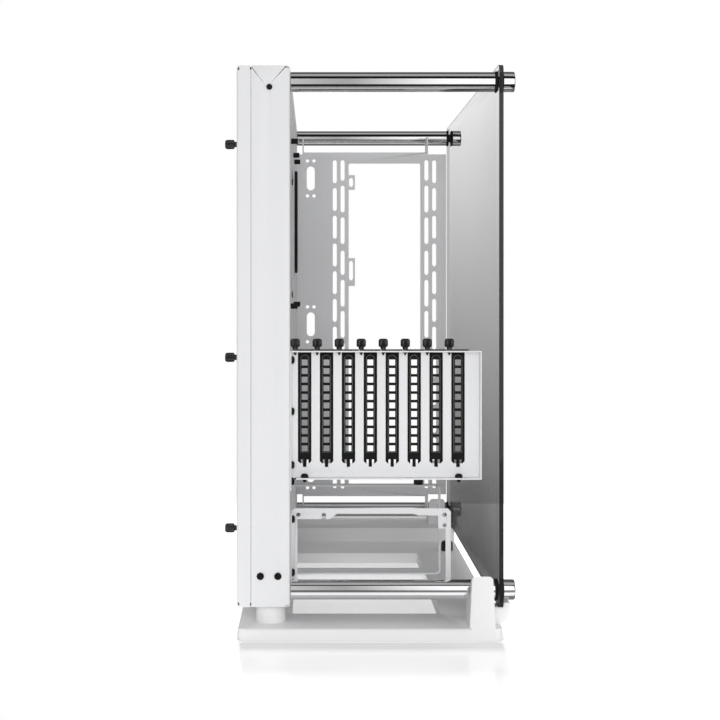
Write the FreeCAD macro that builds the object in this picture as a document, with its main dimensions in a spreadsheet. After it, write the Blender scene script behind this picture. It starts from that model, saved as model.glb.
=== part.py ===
import FreeCAD
import Part
import Sketcher
import math
import os

# Open air test bench: a flat sheet-steel body on a low stand, with a glass panel
# carried in front of it on four chrome rods. Millimetres, +Z up. The narrow rear
# side faces -Y, the glass faces +X, and the origin is on the floor, midway along
# the overall length and width.

doc = FreeCAD.newDocument("open_air_test_bench")
sheet = doc.addObject("Spreadsheet::Sheet", "Sizes")


class Size:
    """A length that knows its number and the sheet expression it comes from."""

    def __init__(self, number, text):
        self.number = float(number)
        self.text = text

    def __add__(self, other):
        other = as_size(other)
        return Size(self.number + other.number, f"({self.text} + {other.text})")

    def __sub__(self, other):
        other = as_size(other)
        return Size(self.number - other.number, f"({self.text} - {other.text})")

    def __mul__(self, factor):
        factor = as_size(factor)
        return Size(self.number * factor.number, f"({self.text} * {factor.text})")

    def __truediv__(self, factor):
        factor = as_size(factor)
        return Size(self.number / factor.number, f"({self.text} / {factor.text})")

    def __radd__(self, other):
        return as_size(other) + self

    def __rsub__(self, other):
        return as_size(other) - self

    def __rmul__(self, other):
        return as_size(other) * self

    def __neg__(self):
        return Size(-self.number, f"(0 - {self.text})")


def as_size(value):
    """Any plain number as a Size."""
    return value if isinstance(value, Size) else Size(value, repr(float(value)))


def size(name, number):
    """One driving dimension: a cell of the sheet with an alias."""
    size.row += 1
    sheet.set(f"A{size.row}", name)
    sheet.set(f"B{size.row}", str(number))
    sheet.setAlias(f"B{size.row}", name)
    return Size(number, f"Sizes.{name}")


size.row = 0

# Driving dimensions: the body
body_length = size("body_length", 493.5)
body_height = size("body_height", 494.9)
body_clearance = size("body_clearance", 29.9)
steel = size("steel", 1.2)
tray_depth = size("tray_depth", 35.5)
cover_depth = size("cover_depth", 13.2)
bend_radius = size("bend_radius", 2.0)
seam_gap = size("seam_gap", 0.3)
corner_relief = size("corner_relief", 2.4)
rail_width = size("rail_width", 16.0)
fit_gap = size("fit_gap", 0.3)
screw_play = size("screw_play", 0.6)

# Driving dimensions: rods, caps, washers and glass
rod_diameter = size("rod_diameter", 18.2)
rod_inset_along = size("rod_inset_along", 17.0)
rod_inset_up = size("rod_inset_up", 12.6)
glass_gap = size("glass_gap", 191.2)
glass_thickness = size("glass_thickness", 4.0)
glass_overhang = size("glass_overhang", 1.3)
glass_corner = size("glass_corner", 6.0)
glass_hole = size("glass_hole", 10.0)
inner_washer = size("inner_washer", 2.0)
outer_washer = size("outer_washer", 1.4)
washer_diameter = size("washer_diameter", 19.8)
cap_diameter = size("cap_diameter", 18.8)
cap_length = size("cap_length", 10.8)
stud_diameter = size("stud_diameter", 6.0)
stud_grip = size("stud_grip", 12.0)
stud_play = size("stud_play", 0.4)
bore_spare = size("bore_spare", 2.0)

# Driving dimensions: thumbscrews and screws
thumb_diameter = size("thumb_diameter", 8.7)
thumb_head = size("thumb_head", 9.0)
thumb_head_short = size("thumb_head_short", 8.0)
thumb_collar = size("thumb_collar", 2.1)
thumb_collar_diameter = size("thumb_collar_diameter", 5.0)
thumb_shank = size("thumb_shank", 3.4)
thumb_tip = size("thumb_tip", 3.0)
pan_diameter = size("pan_diameter", 7.2)
pan_height = size("pan_height", 2.9)
pan_shank = size("pan_shank", 3.6)
pan_grip = size("pan_grip", 4.0)
foot_screw_height = size("foot_screw_height", 3.7)
foot_screw_tip = size("foot_screw_tip", 3.0)
cover_screw_inset = size("cover_screw_inset", 10.0)
cover_screw_top = size("cover_screw_top", 71.2)
cover_screw_middle = size("cover_screw_middle", 267.1)
cover_screw_low = size("cover_screw_low", 424.1)
side_screw_diameter = size("side_screw_diameter", 6.7)
side_screw_small = size("side_screw_small", 5.5)
side_screw_height = size("side_screw_height", 1.2)
side_screw_top_inset = size("side_screw_top_inset", 18.8)
side_screw_top_drop = size("side_screw_top_drop", 19.6)
side_screw_back_inset = size("side_screw_back_inset", 27.0)
side_screw_front_inset = size("side_screw_front_inset", 11.0)
side_screw_rise = size("side_screw_rise", 28.3)
rod_screw_head = size("rod_screw_head", 9.6)
rod_screw_head_height = size("rod_screw_head_height", 6.0)

# Driving dimensions: board stand-offs and cable grommet
board_setback = size("board_setback", 26.5)
board_top_drop = size("board_top_drop", 62.7)
board_column_top = size("board_column_top", 33.02)
board_columns = [size("board_column_rear", 10.16), size("board_column_middle", 165.10),
                 size("board_column_front", 237.49)]
board_rows = [size("board_row_middle", 157.48), size("board_row_low", 281.94)]
standoff_width = size("standoff_width", 5.0)
standoff_height = size("standoff_height", 6.5)
standoff_bore = size("standoff_bore", 3.0)
standoff_bore_depth = size("standoff_bore_depth", 5.0)
grommet_setback = size("grommet_setback", 274.0)
grommet_width = size("grommet_width", 32.0)
grommet_height = size("grommet_height", 115.1)
grommet_drop = size("grommet_drop", 70.6)
grommet_rise = size("grommet_rise", 3.2)
grommet_wall = size("grommet_wall", 3.0)
grommet_bead = size("grommet_bead", 2.0)
cutout_setback = size("cutout_setback", 62.0)
cutout_drop = size("cutout_drop", 22.0)
cutout_width = size("cutout_width", 150.0)
cutout_height = size("cutout_height", 128.0)
cutout_corner = size("cutout_corner", 10.0)
drive_width = size("drive_width", 80.0)
drive_length = size("drive_length", 112.0)
drive_depth = size("drive_depth", 10.0)
drive_border = size("drive_border", 16.0)
drive_rise = size("drive_rise", 26.0)
drive_reach_upper = size("drive_reach_upper", 150.0)
drive_reach_lower = size("drive_reach_lower", 290.0)

# Driving dimensions: slot bracket and slot covers
slot_bracket_setback = size("slot_bracket_setback", 19.0)
slot_bracket_width = size("slot_bracket_width", 176.1)
slot_bracket_height = size("slot_bracket_height", 118.3)
slot_bracket_low = size("slot_bracket_low", 145.4)
slot_bracket_flange = size("slot_bracket_flange", 12.0)
slot_ear = size("slot_ear", 10.4)
slot_notch = size("slot_notch", 4.4)
slot_pitch = size("slot_pitch", 20.32)
slot_first = size("slot_first", 13.3)
slot_window = size("slot_window", 12.5)
slot_window_sill = size("slot_window_sill", 13.5)
slot_tongue = size("slot_tongue", 3.1)
slot_tongue_drop = size("slot_tongue_drop", 3.6)
slot_cover_width = size("slot_cover_width", 18.4)
slot_cover_sheet = size("slot_cover_sheet", 1.0)
slot_vent = size("slot_vent", 5.5)
slot_vent_pitch = size("slot_vent_pitch", 7.97)
slot_vent_drop = size("slot_vent_drop", 11.3)
slot_screw_offset = size("slot_screw_offset", 8.7)
slot_window_corner = size("slot_window_corner", 2.0)
slot_cover_rise = size("slot_cover_rise", 3.6)
slot_cover_notch = size("slot_cover_notch", 1.9)
slot_cover_lap = size("slot_cover_lap", 1.0)
slot_tab_side = size("slot_tab_side", 0.8)
slot_tab_inset = size("slot_tab_inset", 2.0)
slot_flange_rises = [size("slot_flange_rise_top", 109.7), size("slot_flange_rise_middle", 62.3),
                     size("slot_flange_rise_low", 12.9), size("slot_flange_rise_ear", -2.2)]

# Driving dimensions: radiator bracket
radiator_setback = size("radiator_setback", 458.8)
radiator_sheet = size("radiator_sheet", 1.5)
radiator_width = size("radiator_width", 187.1)
radiator_low = size("radiator_low", 61.95)
radiator_height = size("radiator_height", 430.8)
radiator_shoulder = size("radiator_shoulder", 2.4)
radiator_flange = size("radiator_flange", 9.0)
radiator_tab_first = size("radiator_tab_first", 7.2)
radiator_tab_second = size("radiator_tab_second", 164.6)
radiator_tab_height = size("radiator_tab_height", 6.0)
radiator_tab_margin = size("radiator_tab_margin", 3.0)
radiator_flange_margin = size("radiator_flange_margin", 20.0)
radiator_screw_inset = size("radiator_screw_inset", 30.0)
radiator_window_width = size("radiator_window_width", 89.8)
radiator_window_margin = size("radiator_window_margin", 13.9)
radiator_window_corner = size("radiator_window_corner", 1.2)
fan_centre = size("fan_centre", 110.0)
fan_slot_width = size("fan_slot_width", 5.0)
fan_slot_margin = size("fan_slot_margin", 9.55)
outer_slot_spacing = size("outer_slot_spacing", 124.5)
outer_slot_length = size("outer_slot_length", 29.1)
outer_slot_pitch = size("outer_slot_pitch", 34.77)
inner_slot_spacing = size("inner_slot_spacing", 105.0)
inner_slot_places = [size(f"inner_slot_place_{index}", number)
                     for index, number in enumerate((0.0, 39.0, 77.1, 117.4, 157.1, 192.9))]
inner_slot_lengths = [size(f"inner_slot_length_{index}", number)
                      for index, number in enumerate((34.0, 33.8, 30.8, 33.7, 34.0, 26.2))]
pump_slot_offset = size("pump_slot_offset", 17.6)
pump_slot_width = size("pump_slot_width", 10.0)
pump_slot_length = size("pump_slot_length", 30.0)
pump_slot_drop = size("pump_slot_drop", 32.5)
pump_slot_pitch = size("pump_slot_pitch", 182.9)
pump_hole = size("pump_hole", 4.5)
pump_hole_spacing_across = size("pump_hole_spacing_across", 8.1)
pump_hole_spacing_up = size("pump_hole_spacing_up", 43.8)
cable_tab = size("cable_tab", 7.9)
cable_tab_root = size("cable_tab_root", 1.0)
cable_hole_drop = size("cable_hole_drop", 3.5)
cable_tab_drop_top = size("cable_tab_drop_top", 14.45)
cable_tab_length_top = size("cable_tab_length_top", 18.4)
cable_hole_length_top = size("cable_hole_length_top", 11.5)
cable_tab_drop_low = size("cable_tab_drop_low", 118.45)
cable_tab_length_low = size("cable_tab_length_low", 35.1)
cable_hole_length_low = size("cable_hole_length_low", 24.6)

# Driving dimensions: power supply bracket and strap
supply_setback = size("supply_setback", 40.7)
supply_width = size("supply_width", 150.0)
supply_height = size("supply_height", 86.0)
supply_low = size("supply_low", 27.7)
supply_frame = size("supply_frame", 5.1)
supply_hole = size("supply_hole", 4.0)
supply_hole_inset = size("supply_hole_inset", 6.0)
supply_hole_drop = size("supply_hole_drop", 10.0)
supply_hole_spacing = size("supply_hole_spacing", 138.0)
supply_hole_near = size("supply_hole_near", 114.0)
supply_tab = size("supply_tab", 10.1)
supply_tab_length = size("supply_tab_length", 37.0)
supply_flange = size("supply_flange", 12.0)
supply_corner = size("supply_corner", 3.0)
supply_tab_slope = size("supply_tab_slope", 6.0)
supply_side_tab = size("supply_side_tab", 7.0)
supply_lug = size("supply_lug", 19.2)
supply_lug_drop = size("supply_lug_drop", 1.7)
supply_lug_slope = size("supply_lug_slope", 4.0)
supply_side_tab_drop = size("supply_side_tab_drop", 19.0)
supply_slot_drop = size("supply_slot_drop", 4.0)
supply_screw_drops = [size("supply_screw_drop_top", 9.1), size("supply_screw_drop_low", 59.1)]
strap_setback = size("strap_setback", 162.0)
strap_width = size("strap_width", 12.0)
strap_sheet = size("strap_sheet", 1.5)
strap_play = size("strap_play", 3.1)
strap_play_under = size("strap_play_under", 0.2)
strap_corner = size("strap_corner", 5.0)
strap_foot = size("strap_foot", 14.0)
strap_screw_rise = size("strap_screw_rise", 8.5)
strap_knob_offset = size("strap_knob_offset", 130.1)
strap_knob_diameter = size("strap_knob_diameter", 9.6)
strap_knob_height = size("strap_knob_height", 5.5)

# Driving dimensions: stand
stand_length = size("stand_length", 509.7)
stand_overhang = size("stand_overhang", 10.2)
stand_height = size("stand_height", 12.4)
stand_foot = size("stand_foot", 1.2)
stand_foot_diameter = size("stand_foot_diameter", 16.0)
stand_foot_inset = size("stand_foot_inset", 14.0)
stand_back = size("stand_back", 47.5)
stand_front = size("stand_front", 193.4)
stand_corner = size("stand_corner", 8.0)
stand_wall = size("stand_wall", 2.6)
stand_cell_depth = size("stand_cell_depth", 3.0)
stand_window_inset = size("stand_window_inset", 0.7)
stand_window_corner = size("stand_window_corner", 2.0)
stand_window_front = size("stand_window_front", 142.4)
stand_window_near = size("stand_window_near", 59.7)
stand_window_first = size("stand_window_first", 193.8)
stand_window_bar = size("stand_window_bar", 18.7)
stand_window_second = size("stand_window_second", 83.0)
stand_step_near = size("stand_step_near", 429.7)
stand_step_rise = size("stand_step_rise", 16.5)
stand_step_back = size("stand_step_back", 2.0)
stand_rib = size("stand_rib", 2.6)
stand_rim = size("stand_rim", 10.0)
upright_near_edge = size("upright_near_edge", 163.1)
upright_foot_width = size("upright_foot_width", 23.6)
upright_top_width = size("upright_top_width", 18.7)
upright_depth = size("upright_depth", 38.0)
upright_plate = size("upright_plate", 12.0)
upright_saddle = size("upright_saddle", 42.2)
upright_height = size("upright_height", 60.0)
upright_round = size("upright_round", 4.0)
moulded_root = size("moulded_root", 2.0)
lip_root = size("lip_root", 8.0)
lip_start = size("lip_start", 2.2)
lip_reach = size("lip_reach", 202.2)
lip_round = size("lip_round", 15.8)
lip_rise = size("lip_rise", 32.0)
lip_length = size("lip_length", 18.0)
column_low_diameter = size("column_low_diameter", 28.8)
column_top_diameter = size("column_top_diameter", 26.4)
column_back = size("column_back", 18.1)
column_inset = size("column_inset", 24.0)
stand_knob_diameter = size("stand_knob_diameter", 13.7)
stand_knob_height = size("stand_knob_height", 11.2)
stand_knob_offset = size("stand_knob_offset", 178.8)
stand_knob_near = size("stand_knob_near", 372.2)

# Driving dimensions: front ports
panel_width = size("panel_width", 24.0)
panel_height = size("panel_height", 122.0)
panel_drop = size("panel_drop", 34.0)
panel_rim = size("panel_rim", 1.6)
panel_sheet = size("panel_sheet", 2.0)
panel_corner = size("panel_corner", 3.0)
panel_post = size("panel_post", 4.0)
panel_post_rise = size("panel_post_rise", 5.0)
panel_skirt = size("panel_skirt", 1.0)
power_drop = size("power_drop", 12.0)
reset_drop = size("reset_drop", 27.0)
jack_drop = size("jack_drop", 41.0)
small_port_drop = size("small_port_drop", 57.0)
usb_drops = [size("usb_drop_upper", 78.0), size("usb_drop_lower", 102.0)]
board_gap = size("board_gap", 14.0)
board_sheet = size("board_sheet", 1.6)
power_diameter = size("power_diameter", 12.0)
reset_diameter = size("reset_diameter", 5.0)
button_proud = size("button_proud", 2.4)
button_travel = size("button_travel", 1.5)
button_stem = size("button_stem", 4.0)
switch_width = size("switch_width", 6.0)
switch_height = size("switch_height", 4.0)
button_skirt = size("button_skirt", 1.6)
button_skirt_height = size("button_skirt_height", 1.2)
board_inset = size("board_inset", 2.0)
port_wall = size("port_wall", 0.8)
port_floor = size("port_floor", 4.0)
port_recess = size("port_recess", 1.0)
usb_width = size("usb_width", 6.4)
usb_height = size("usb_height", 14.0)
usb_tongue = size("usb_tongue", 1.8)
usb_tongue_height = size("usb_tongue_height", 10.8)
small_port_width = size("small_port_width", 3.2)
small_port_height = size("small_port_height", 9.0)
jack_diameter = size("jack_diameter", 6.6)
jack_bore = size("jack_bore", 3.6)

# Places worked out from the driving dimensions
thumb_reach = thumb_head + thumb_collar
front_reach = glass_gap + glass_thickness + outer_washer + cap_length
tray_face = (tray_depth + cover_depth + thumb_reach - front_reach) / 2
tray_back = tray_face - tray_depth
cover_back = tray_back - cover_depth
near_face = stand_overhang - stand_length / 2
far_face = near_face + body_length
body_low = body_clearance
body_top = body_low + body_height
glass_inner = tray_face + glass_gap
glass_outer = glass_inner + glass_thickness
rod_near = near_face + rod_inset_along
rod_far = far_face - rod_inset_along
rod_low = body_low + rod_inset_up
rod_top = body_top - rod_inset_up
rod_end = glass_inner - inner_washer
panel_middle = tray_face - tray_depth / 2
panel_top = body_top - panel_drop
rod_places = {
    "near_top": (rod_near, rod_top),
    "near_low": (rod_near, rod_low),
    "far_top": (rod_far, rod_top),
    "far_low": (rod_far, rod_low),
}

# Sides of a round outline: shanks and their holes, screw heads, larger round pieces, slot ends
SHANK_SIDES = 6
HEAD_SIDES = 8
ROUND_SIDES = 16
SLOT_END_SIDES = 3
WIDE_END_SIDES = 6
HEXAGON = 6
CORNERS_PER_FLATS = 2 / math.sqrt(3)

ALONG_X = FreeCAD.Vector(1, 0, 0)
ALONG_Y = FreeCAD.Vector(0, 1, 0)
ALONG_Z = FreeCAD.Vector(0, 0, 1)

exported = []


def keep(item):
    """Mark an object as a sub-part that is written to its own file."""
    exported.append(item)
    return item


def bind(item, path, value):
    """Tie a property to the sheet."""
    item.setExpression(path, as_size(value).text)


def new_body(name):
    body = doc.addObject("PartDesign::Body", name)
    body.Label = name
    return body


def new_sketch(body, plane, offset):
    """A sketch on one of the body's origin planes, moved along the plane's normal.

    The XZ plane's normal points to -Y, so its offset changes sign.
    """
    sketch = body.newObject("Sketcher::SketchObject", f"{body.Label}_sketch")
    support = [part for part in body.Origin.OriginFeatures if part.Role == f"{plane}_Plane"][0]
    sketch.AttachmentSupport = [(support, "")]
    sketch.MapMode = "FlatFace"
    bind(sketch, "AttachmentOffset.Base.z", -as_size(offset) if plane == "XZ" else offset)
    return sketch


def pin_point(sketch, element, vertex, across, up):
    """Fix a sketch point at a bound distance from the sketch origin."""
    for kind, value in (("DistanceX", as_size(across)), ("DistanceY", as_size(up))):
        place = Sketcher.Constraint(kind, -1, 1, element, vertex, value.number)
        index = sketch.addConstraint(place)
        sketch.setExpression(f"Constraints[{index}]", value.text)


def set_radius(sketch, element, radius):
    radius = as_size(radius)
    index = sketch.addConstraint(Sketcher.Constraint("Radius", element, radius.number))
    sketch.setExpression(f"Constraints[{index}]", radius.text)


def polygon(sketch, points):
    """A closed outline through the given points."""
    points = [(as_size(across), as_size(up)) for across, up in points]
    first = sketch.GeometryCount
    count = len(points)
    for index in range(count):
        start, end = points[index], points[(index + 1) % count]
        sketch.addGeometry(Part.LineSegment(
            FreeCAD.Vector(start[0].number, start[1].number, 0),
            FreeCAD.Vector(end[0].number, end[1].number, 0)), False)
    for index in range(count):
        following = first + (index + 1) % count
        sketch.addConstraint(Sketcher.Constraint("Coincident", first + index, 2, following, 1))
        pin_point(sketch, first + index, 1, *points[index])


def rectangle(sketch, left, right, low, high):
    polygon(sketch, [(left, low), (right, low), (right, high), (left, high)])


def circle(sketch, across, up, diameter):
    across, up, diameter = as_size(across), as_size(up), as_size(diameter)
    element = sketch.GeometryCount
    middle = FreeCAD.Vector(across.number, up.number, 0)
    sketch.addGeometry(Part.Circle(middle, FreeCAD.Vector(0, 0, 1), diameter.number / 2), False)
    pin_point(sketch, element, 3, across, up)
    set_radius(sketch, element, diameter / 2)


def cut_rectangle(sketch, left, right, low, high, corner):
    """A rectangle whose four corners are cut off at 45 degrees."""
    left, right, low, high = (as_size(value) for value in (left, right, low, high))
    polygon(sketch, [
        (left + corner, low), (right - corner, low), (right, low + corner), (right, high - corner),
        (right - corner, high), (left + corner, high), (left, high - corner), (left, low + corner)])


def ring(sketch, across, up, diameter, sides):
    """A round outline of straight sides, which keeps small repeated pieces light."""
    across, up, diameter = as_size(across), as_size(up), as_size(diameter)
    points = []
    for index in range(sides):
        angle = math.tau * (index + 0.5) / sides
        points.append((across + diameter * (math.cos(angle) / 2),
                       up + diameter * (math.sin(angle) / 2)))
    polygon(sketch, points)


def upright_slot(sketch, across, low, high, width, sides):
    """A slot along the sketch's second axis, each rounded end made of straight sides."""
    across, low, high, width = (as_size(value) for value in (across, low, high, width))
    points = []
    for end, first_angle, inwards in ((high, 0.0, -0.5), (low, math.pi, 0.5)):
        for index in range(sides + 1):
            angle = first_angle + math.pi * index / sides
            points.append((across + width * (math.cos(angle) / 2),
                           end + width * (inwards + math.sin(angle) / 2)))
    polygon(sketch, points)


def pad(body, plane, start, end, *outlines):
    """Add the outlines, from one place to another along the plane's axis."""
    start, end = as_size(start), as_size(end)
    sketch = new_sketch(body, plane, end if plane == "XZ" else start)
    for draw, arguments in outlines:
        draw(sketch, *arguments)
    feature = body.newObject("PartDesign::Pad", f"{body.Label}_pad")
    feature.Profile = sketch
    bind(feature, "Length", end - start)
    sketch.Visibility = False
    return feature


def pocket(body, plane, start, end, *outlines):
    """Cut the outlines, from one place to another along the plane's axis."""
    start, end = as_size(start), as_size(end)
    sketch = new_sketch(body, plane, start if plane == "XZ" else end)
    for draw, arguments in outlines:
        draw(sketch, *arguments)
    feature = body.newObject("PartDesign::Pocket", f"{body.Label}_pocket")
    feature.Profile = sketch
    bind(feature, "Length", end - start)
    sketch.Visibility = False
    return feature


def pattern(body, feature, axis, pitch, count):
    """Repeat a feature along one axis of its own sketch."""
    copies = body.newObject("PartDesign::LinearPattern", f"{body.Label}_pattern")
    copies.Originals = [feature]
    copies.Direction = (feature.Profile[0], [axis])
    copies.Occurrences = count
    bind(copies, "Length", as_size(pitch) * (count - 1))
    body.Tip = copies
    return copies


def edges_along(shape, direction, test):
    """Names of the straight edges that run along a direction and pass a test."""
    names = []
    for index, edge in enumerate(shape.Edges, start=1):
        heading = edge.Vertexes[-1].Point - edge.Vertexes[0].Point
        if heading.Length < 1e-6 or abs(edge.Length - heading.Length) > 1e-6:
            continue
        if heading.cross(direction).Length > 1e-6 * heading.Length:
            continue
        if test(edge.CenterOfMass):
            names.append(f"Edge{index}")
    return names


def soften(body, base, direction, test, radius):
    """Round the chosen edges of a feature."""
    doc.recompute()
    feature = body.newObject("PartDesign::Fillet", f"{body.Label}_fillet")
    feature.Base = (base, edges_along(base.Shape, direction, test))
    bind(feature, "Radius", radius)
    return feature


def narrow_upwards(body, base, lean):
    """Draft every upright face of a feature by an angle, its foot kept as it is."""
    doc.recompute()
    feature = body.newObject("PartDesign::Draft", f"{body.Label}_draft")
    feature.Base = (base, [f"Face{index}" for index, face in enumerate(base.Shape.Faces, start=1)
                           if abs(face.normalAt(0, 0).z) < 0.5])
    feature.NeutralPlane = base.Profile[0].AttachmentSupport[0]
    feature.setExpression("Angle", lean)
    return feature


def place(item, across, along, up):
    for name, value in (("x", across), ("y", along), ("z", up)):
        bind(item, f"Placement.Base.{name}", value)
    return item


def repeated(name, template, places, rotation=None):
    """One sub-part made of like solids: a template placed several times.

    A list of templates gives one for each place.
    """
    links = []
    for index, (across, along, up) in enumerate(places, start=1):
        link = doc.addObject("App::Link", f"{name}_{index}")
        link.LinkedObject = template[index - 1] if isinstance(template, list) else template
        if rotation is not None:
            link.Placement = FreeCAD.Placement(FreeCAD.Vector(), rotation)
        place(link, across, along, up)
        links.append(link)
    group = doc.addObject("Part::Compound", name)
    group.Label = name
    group.Links = links
    return keep(group)


# Main tray: a shallow steel tub, open at the back

cover_screw_places = [
    (along, body_top - drop)
    for along in (near_face + cover_screw_inset, far_face - cover_screw_inset)
    for drop in (cover_screw_top, cover_screw_middle, cover_screw_low)
]
side_screw_places = [
    (tray_face - side_screw_top_inset, body_top - side_screw_top_drop),
    (tray_face - side_screw_back_inset, body_low + side_screw_rise),
    (tray_face - side_screw_front_inset, body_low + side_screw_rise),
]
grommet_line = near_face + grommet_setback + grommet_width / 2
grommet_top = body_top - grommet_drop


def folded_tub(body, mouth, floor, floor_inside):
    """A sheet tub with bent edges and open corners, its floor square to X."""
    block = pad(body, "YZ", *sorted((mouth, floor), key=lambda place: place.number),
                (rectangle, (near_face, far_face, body_low, body_top)))
    inwards = floor + corner_relief if floor.number < mouth.number else floor - corner_relief
    block = pocket(body, "YZ", *sorted((inwards, floor), key=lambda place: place.number),
                   *[(rectangle, (along, along + corner_relief, up, up + corner_relief))
                     for along in (near_face, far_face - corner_relief)
                     for up in (body_low, body_top - corner_relief)])
    for direction in (ALONG_Z, ALONG_Y):
        block = soften(body, block, direction,
                       lambda point: abs(point.x - floor.number) < 0.01 and is_outer(point),
                       bend_radius)
    pocket(body, "YZ", *sorted((mouth, floor_inside), key=lambda place: place.number),
           (rectangle, (near_face + steel, far_face - steel, body_low + steel, body_top - steel)))


def is_outer(point):
    """Whether a point lies on one of the body's four outer planes, seen from the glass."""
    return min(abs(point.y - near_face.number), abs(point.y - far_face.number),
               abs(point.z - body_low.number), abs(point.z - body_top.number)) < 0.01


def make_tray():
    body = new_body("main_tray")
    folded_tub(body, tray_back, tray_face, tray_face - steel)
    # Opening behind the board's processor, and the grommet's slot
    cut_top = body_top - board_top_drop - cutout_drop
    cut_low = cut_top - cutout_height
    cut_near = near_face + board_setback + cutout_setback
    cut_far = cut_near + cutout_width
    opening = pocket(body, "YZ", tray_face - steel, tray_face,
                     (rectangle, (cut_near, cut_far, cut_low, cut_top)))
    soften(body, opening, ALONG_X,
           lambda point: cut_near.number - 1 < point.y < cut_far.number + 1
           and cut_low.number - 1 < point.z < cut_top.number + 1, cutout_corner)
    pocket(body, "YZ", tray_face - steel, tray_face,
           (upright_slot, (grommet_line, grommet_top - grommet_height + grommet_wall / 2,
                           grommet_top - grommet_wall / 2, grommet_width - grommet_wall,
                           WIDE_END_SIDES)))
    # Holes for the screws of the four rods
    pocket(body, "YZ", tray_face - steel, tray_face,
           *[(ring, (along, up, stud_diameter + stud_play, HEAD_SIDES))
             for along, up in rod_places.values()])
    # Opening of the front ports
    top = body_top - panel_drop
    pocket(body, "XZ", far_face - steel, far_face,
           (rectangle, (panel_middle - panel_width / 2, panel_middle + panel_width / 2,
                        top - panel_height, top)))
    # Holes for the screws in the two narrow sides
    for start in (near_face, far_face - steel):
        pocket(body, "XZ", start, start + steel,
               *[(ring, (across, up, pan_shank + screw_play, SHANK_SIDES))
                 for across, up in side_screw_places])
    return keep(body)


def make_cover_rails():
    """Two strips inside the tray's narrow sides that take the cover's thumbscrews."""
    for name, near in (("cover_rail_near", near_face + steel),
                       ("cover_rail_far", far_face - steel - rail_width)):
        body = new_body(name)
        pad(body, "YZ", tray_back, tray_back + steel,
            (rectangle, (near, near + rail_width, body_low + steel, body_top - steel)))
        pocket(body, "YZ", tray_back, tray_back + steel,
               *[(ring, (along, up, thumb_shank + screw_play, SHANK_SIDES))
                 for along, up in cover_screw_places
                 if near.number < along.number < (near + rail_width).number])
        keep(body)


def make_cover():
    body = new_body("back_cover")
    folded_tub(body, tray_back - seam_gap, cover_back, cover_back + steel)
    pocket(body, "YZ", cover_back, cover_back + steel,
           *[(ring, (along, up, thumb_shank + screw_play, SHANK_SIDES))
             for along, up in cover_screw_places])
    return keep(body)


# Fasteners, each made once about the X axis with its seat at x = 0 and its head towards +X

def stepped(name, *steps):
    """A body of round steps along X, each with its start, end, diameter and sides."""
    body = new_body(name)
    for start, end, diameter, sides in steps:
        pad(body, "YZ", start, end, (ring, (0, 0, diameter, sides)))
    return body


def thumbscrew_template(name, head, shank_length):
    return stepped(name, (-shank_length, 0, thumb_shank, SHANK_SIDES),
                   (0, thumb_collar, thumb_collar_diameter, SHANK_SIDES),
                   (thumb_collar, thumb_collar + head, thumb_diameter, HEAD_SIDES))


def pan_template(name, diameter, height, shank_length):
    return stepped(name, (-shank_length, 0, pan_shank, SHANK_SIDES),
                   (0, height, diameter, HEAD_SIDES))


TOWARDS_BACK = FreeCAD.Rotation(ALONG_Z, 180)
TOWARDS_NEAR = FreeCAD.Rotation(ALONG_Z, -90)
TOWARDS_FAR = FreeCAD.Rotation(ALONG_Z, 90)
UPWARDS = FreeCAD.Rotation(ALONG_Y, -90)


def make_fasteners():
    cover_screw = thumbscrew_template("cover_screw_form", thumb_head, cover_depth + steel + thumb_tip)
    repeated("cover_thumbscrews", cover_screw,
             [(cover_back, along, up) for along, up in cover_screw_places], TOWARDS_BACK)
    slot_screw = thumbscrew_template("slot_screw_form", thumb_head_short,
                                     slot_cover_sheet + steel + thumb_tip)
    repeated("slot_thumbscrews", slot_screw,
             [(middle - slot_screw_offset, slot_screw_line, shelf_top + slot_cover_sheet)
              for middle in slot_middles], UPWARDS)
    flange_screw = pan_template("flange_screw_form", pan_diameter, pan_height, steel)
    repeated("slot_bracket_screws", flange_screw,
             [(tray_face + steel, slot_screw_line, up) for up in slot_flange_rows])
    repeated("power_bracket_screws", flange_screw,
             [(tray_face + steel, supply_screw_line, up) for up in supply_screw_rows])
    plate_screw = pan_template("plate_screw_form", pan_diameter, pan_height, radiator_sheet)
    repeated("radiator_bracket_screws", plate_screw,
             [(tray_face + radiator_sheet, radiator_screw_line, up) for up in radiator_screw_rows])
    strap_fixing = pan_template("strap_screw_form", pan_diameter, pan_height, strap_sheet)
    repeated("strap_screw", strap_fixing,
             [(tray_face + strap_sheet, strap_line, strap_top + strap_screw_rise)])
    foot_screw = pan_template("foot_screw_form", pan_diameter, foot_screw_height,
                              steel + foot_screw_tip)
    repeated("slot_bracket_foot_screws", foot_screw,
             [(across, slot_screw_line, slot_bracket_low + steel) for across in foot_screw_places],
             UPWARDS)
    small = pan_template("small_side_screw_form", side_screw_small, side_screw_height, pan_grip)
    large = pan_template("side_screw_form", side_screw_diameter, side_screw_height, pan_grip)
    for name, face, heading in (("near_side_screws", near_face, TOWARDS_NEAR),
                                ("far_side_screws", far_face, TOWARDS_FAR)):
        repeated(name, [small, large, large],
                 [(across, face, up) for across, up in side_screw_places], heading)


# Rods with their screws, caps and washers

def make_rods():
    rod_length = rod_end - tray_face
    bore_depth = stud_grip + bore_spare
    for name, (along, up) in rod_places.items():
        body = new_body(f"rod_{name}")
        pad(body, "YZ", 0, rod_length, (circle, (0, 0, rod_diameter)))
        for start in (0, rod_length - bore_depth):
            pocket(body, "YZ", start, start + bore_depth,
                   (ring, (0, 0, stud_diameter + stud_play, HEAD_SIDES)))
        keep(place(body, tray_face, along, up))


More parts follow.
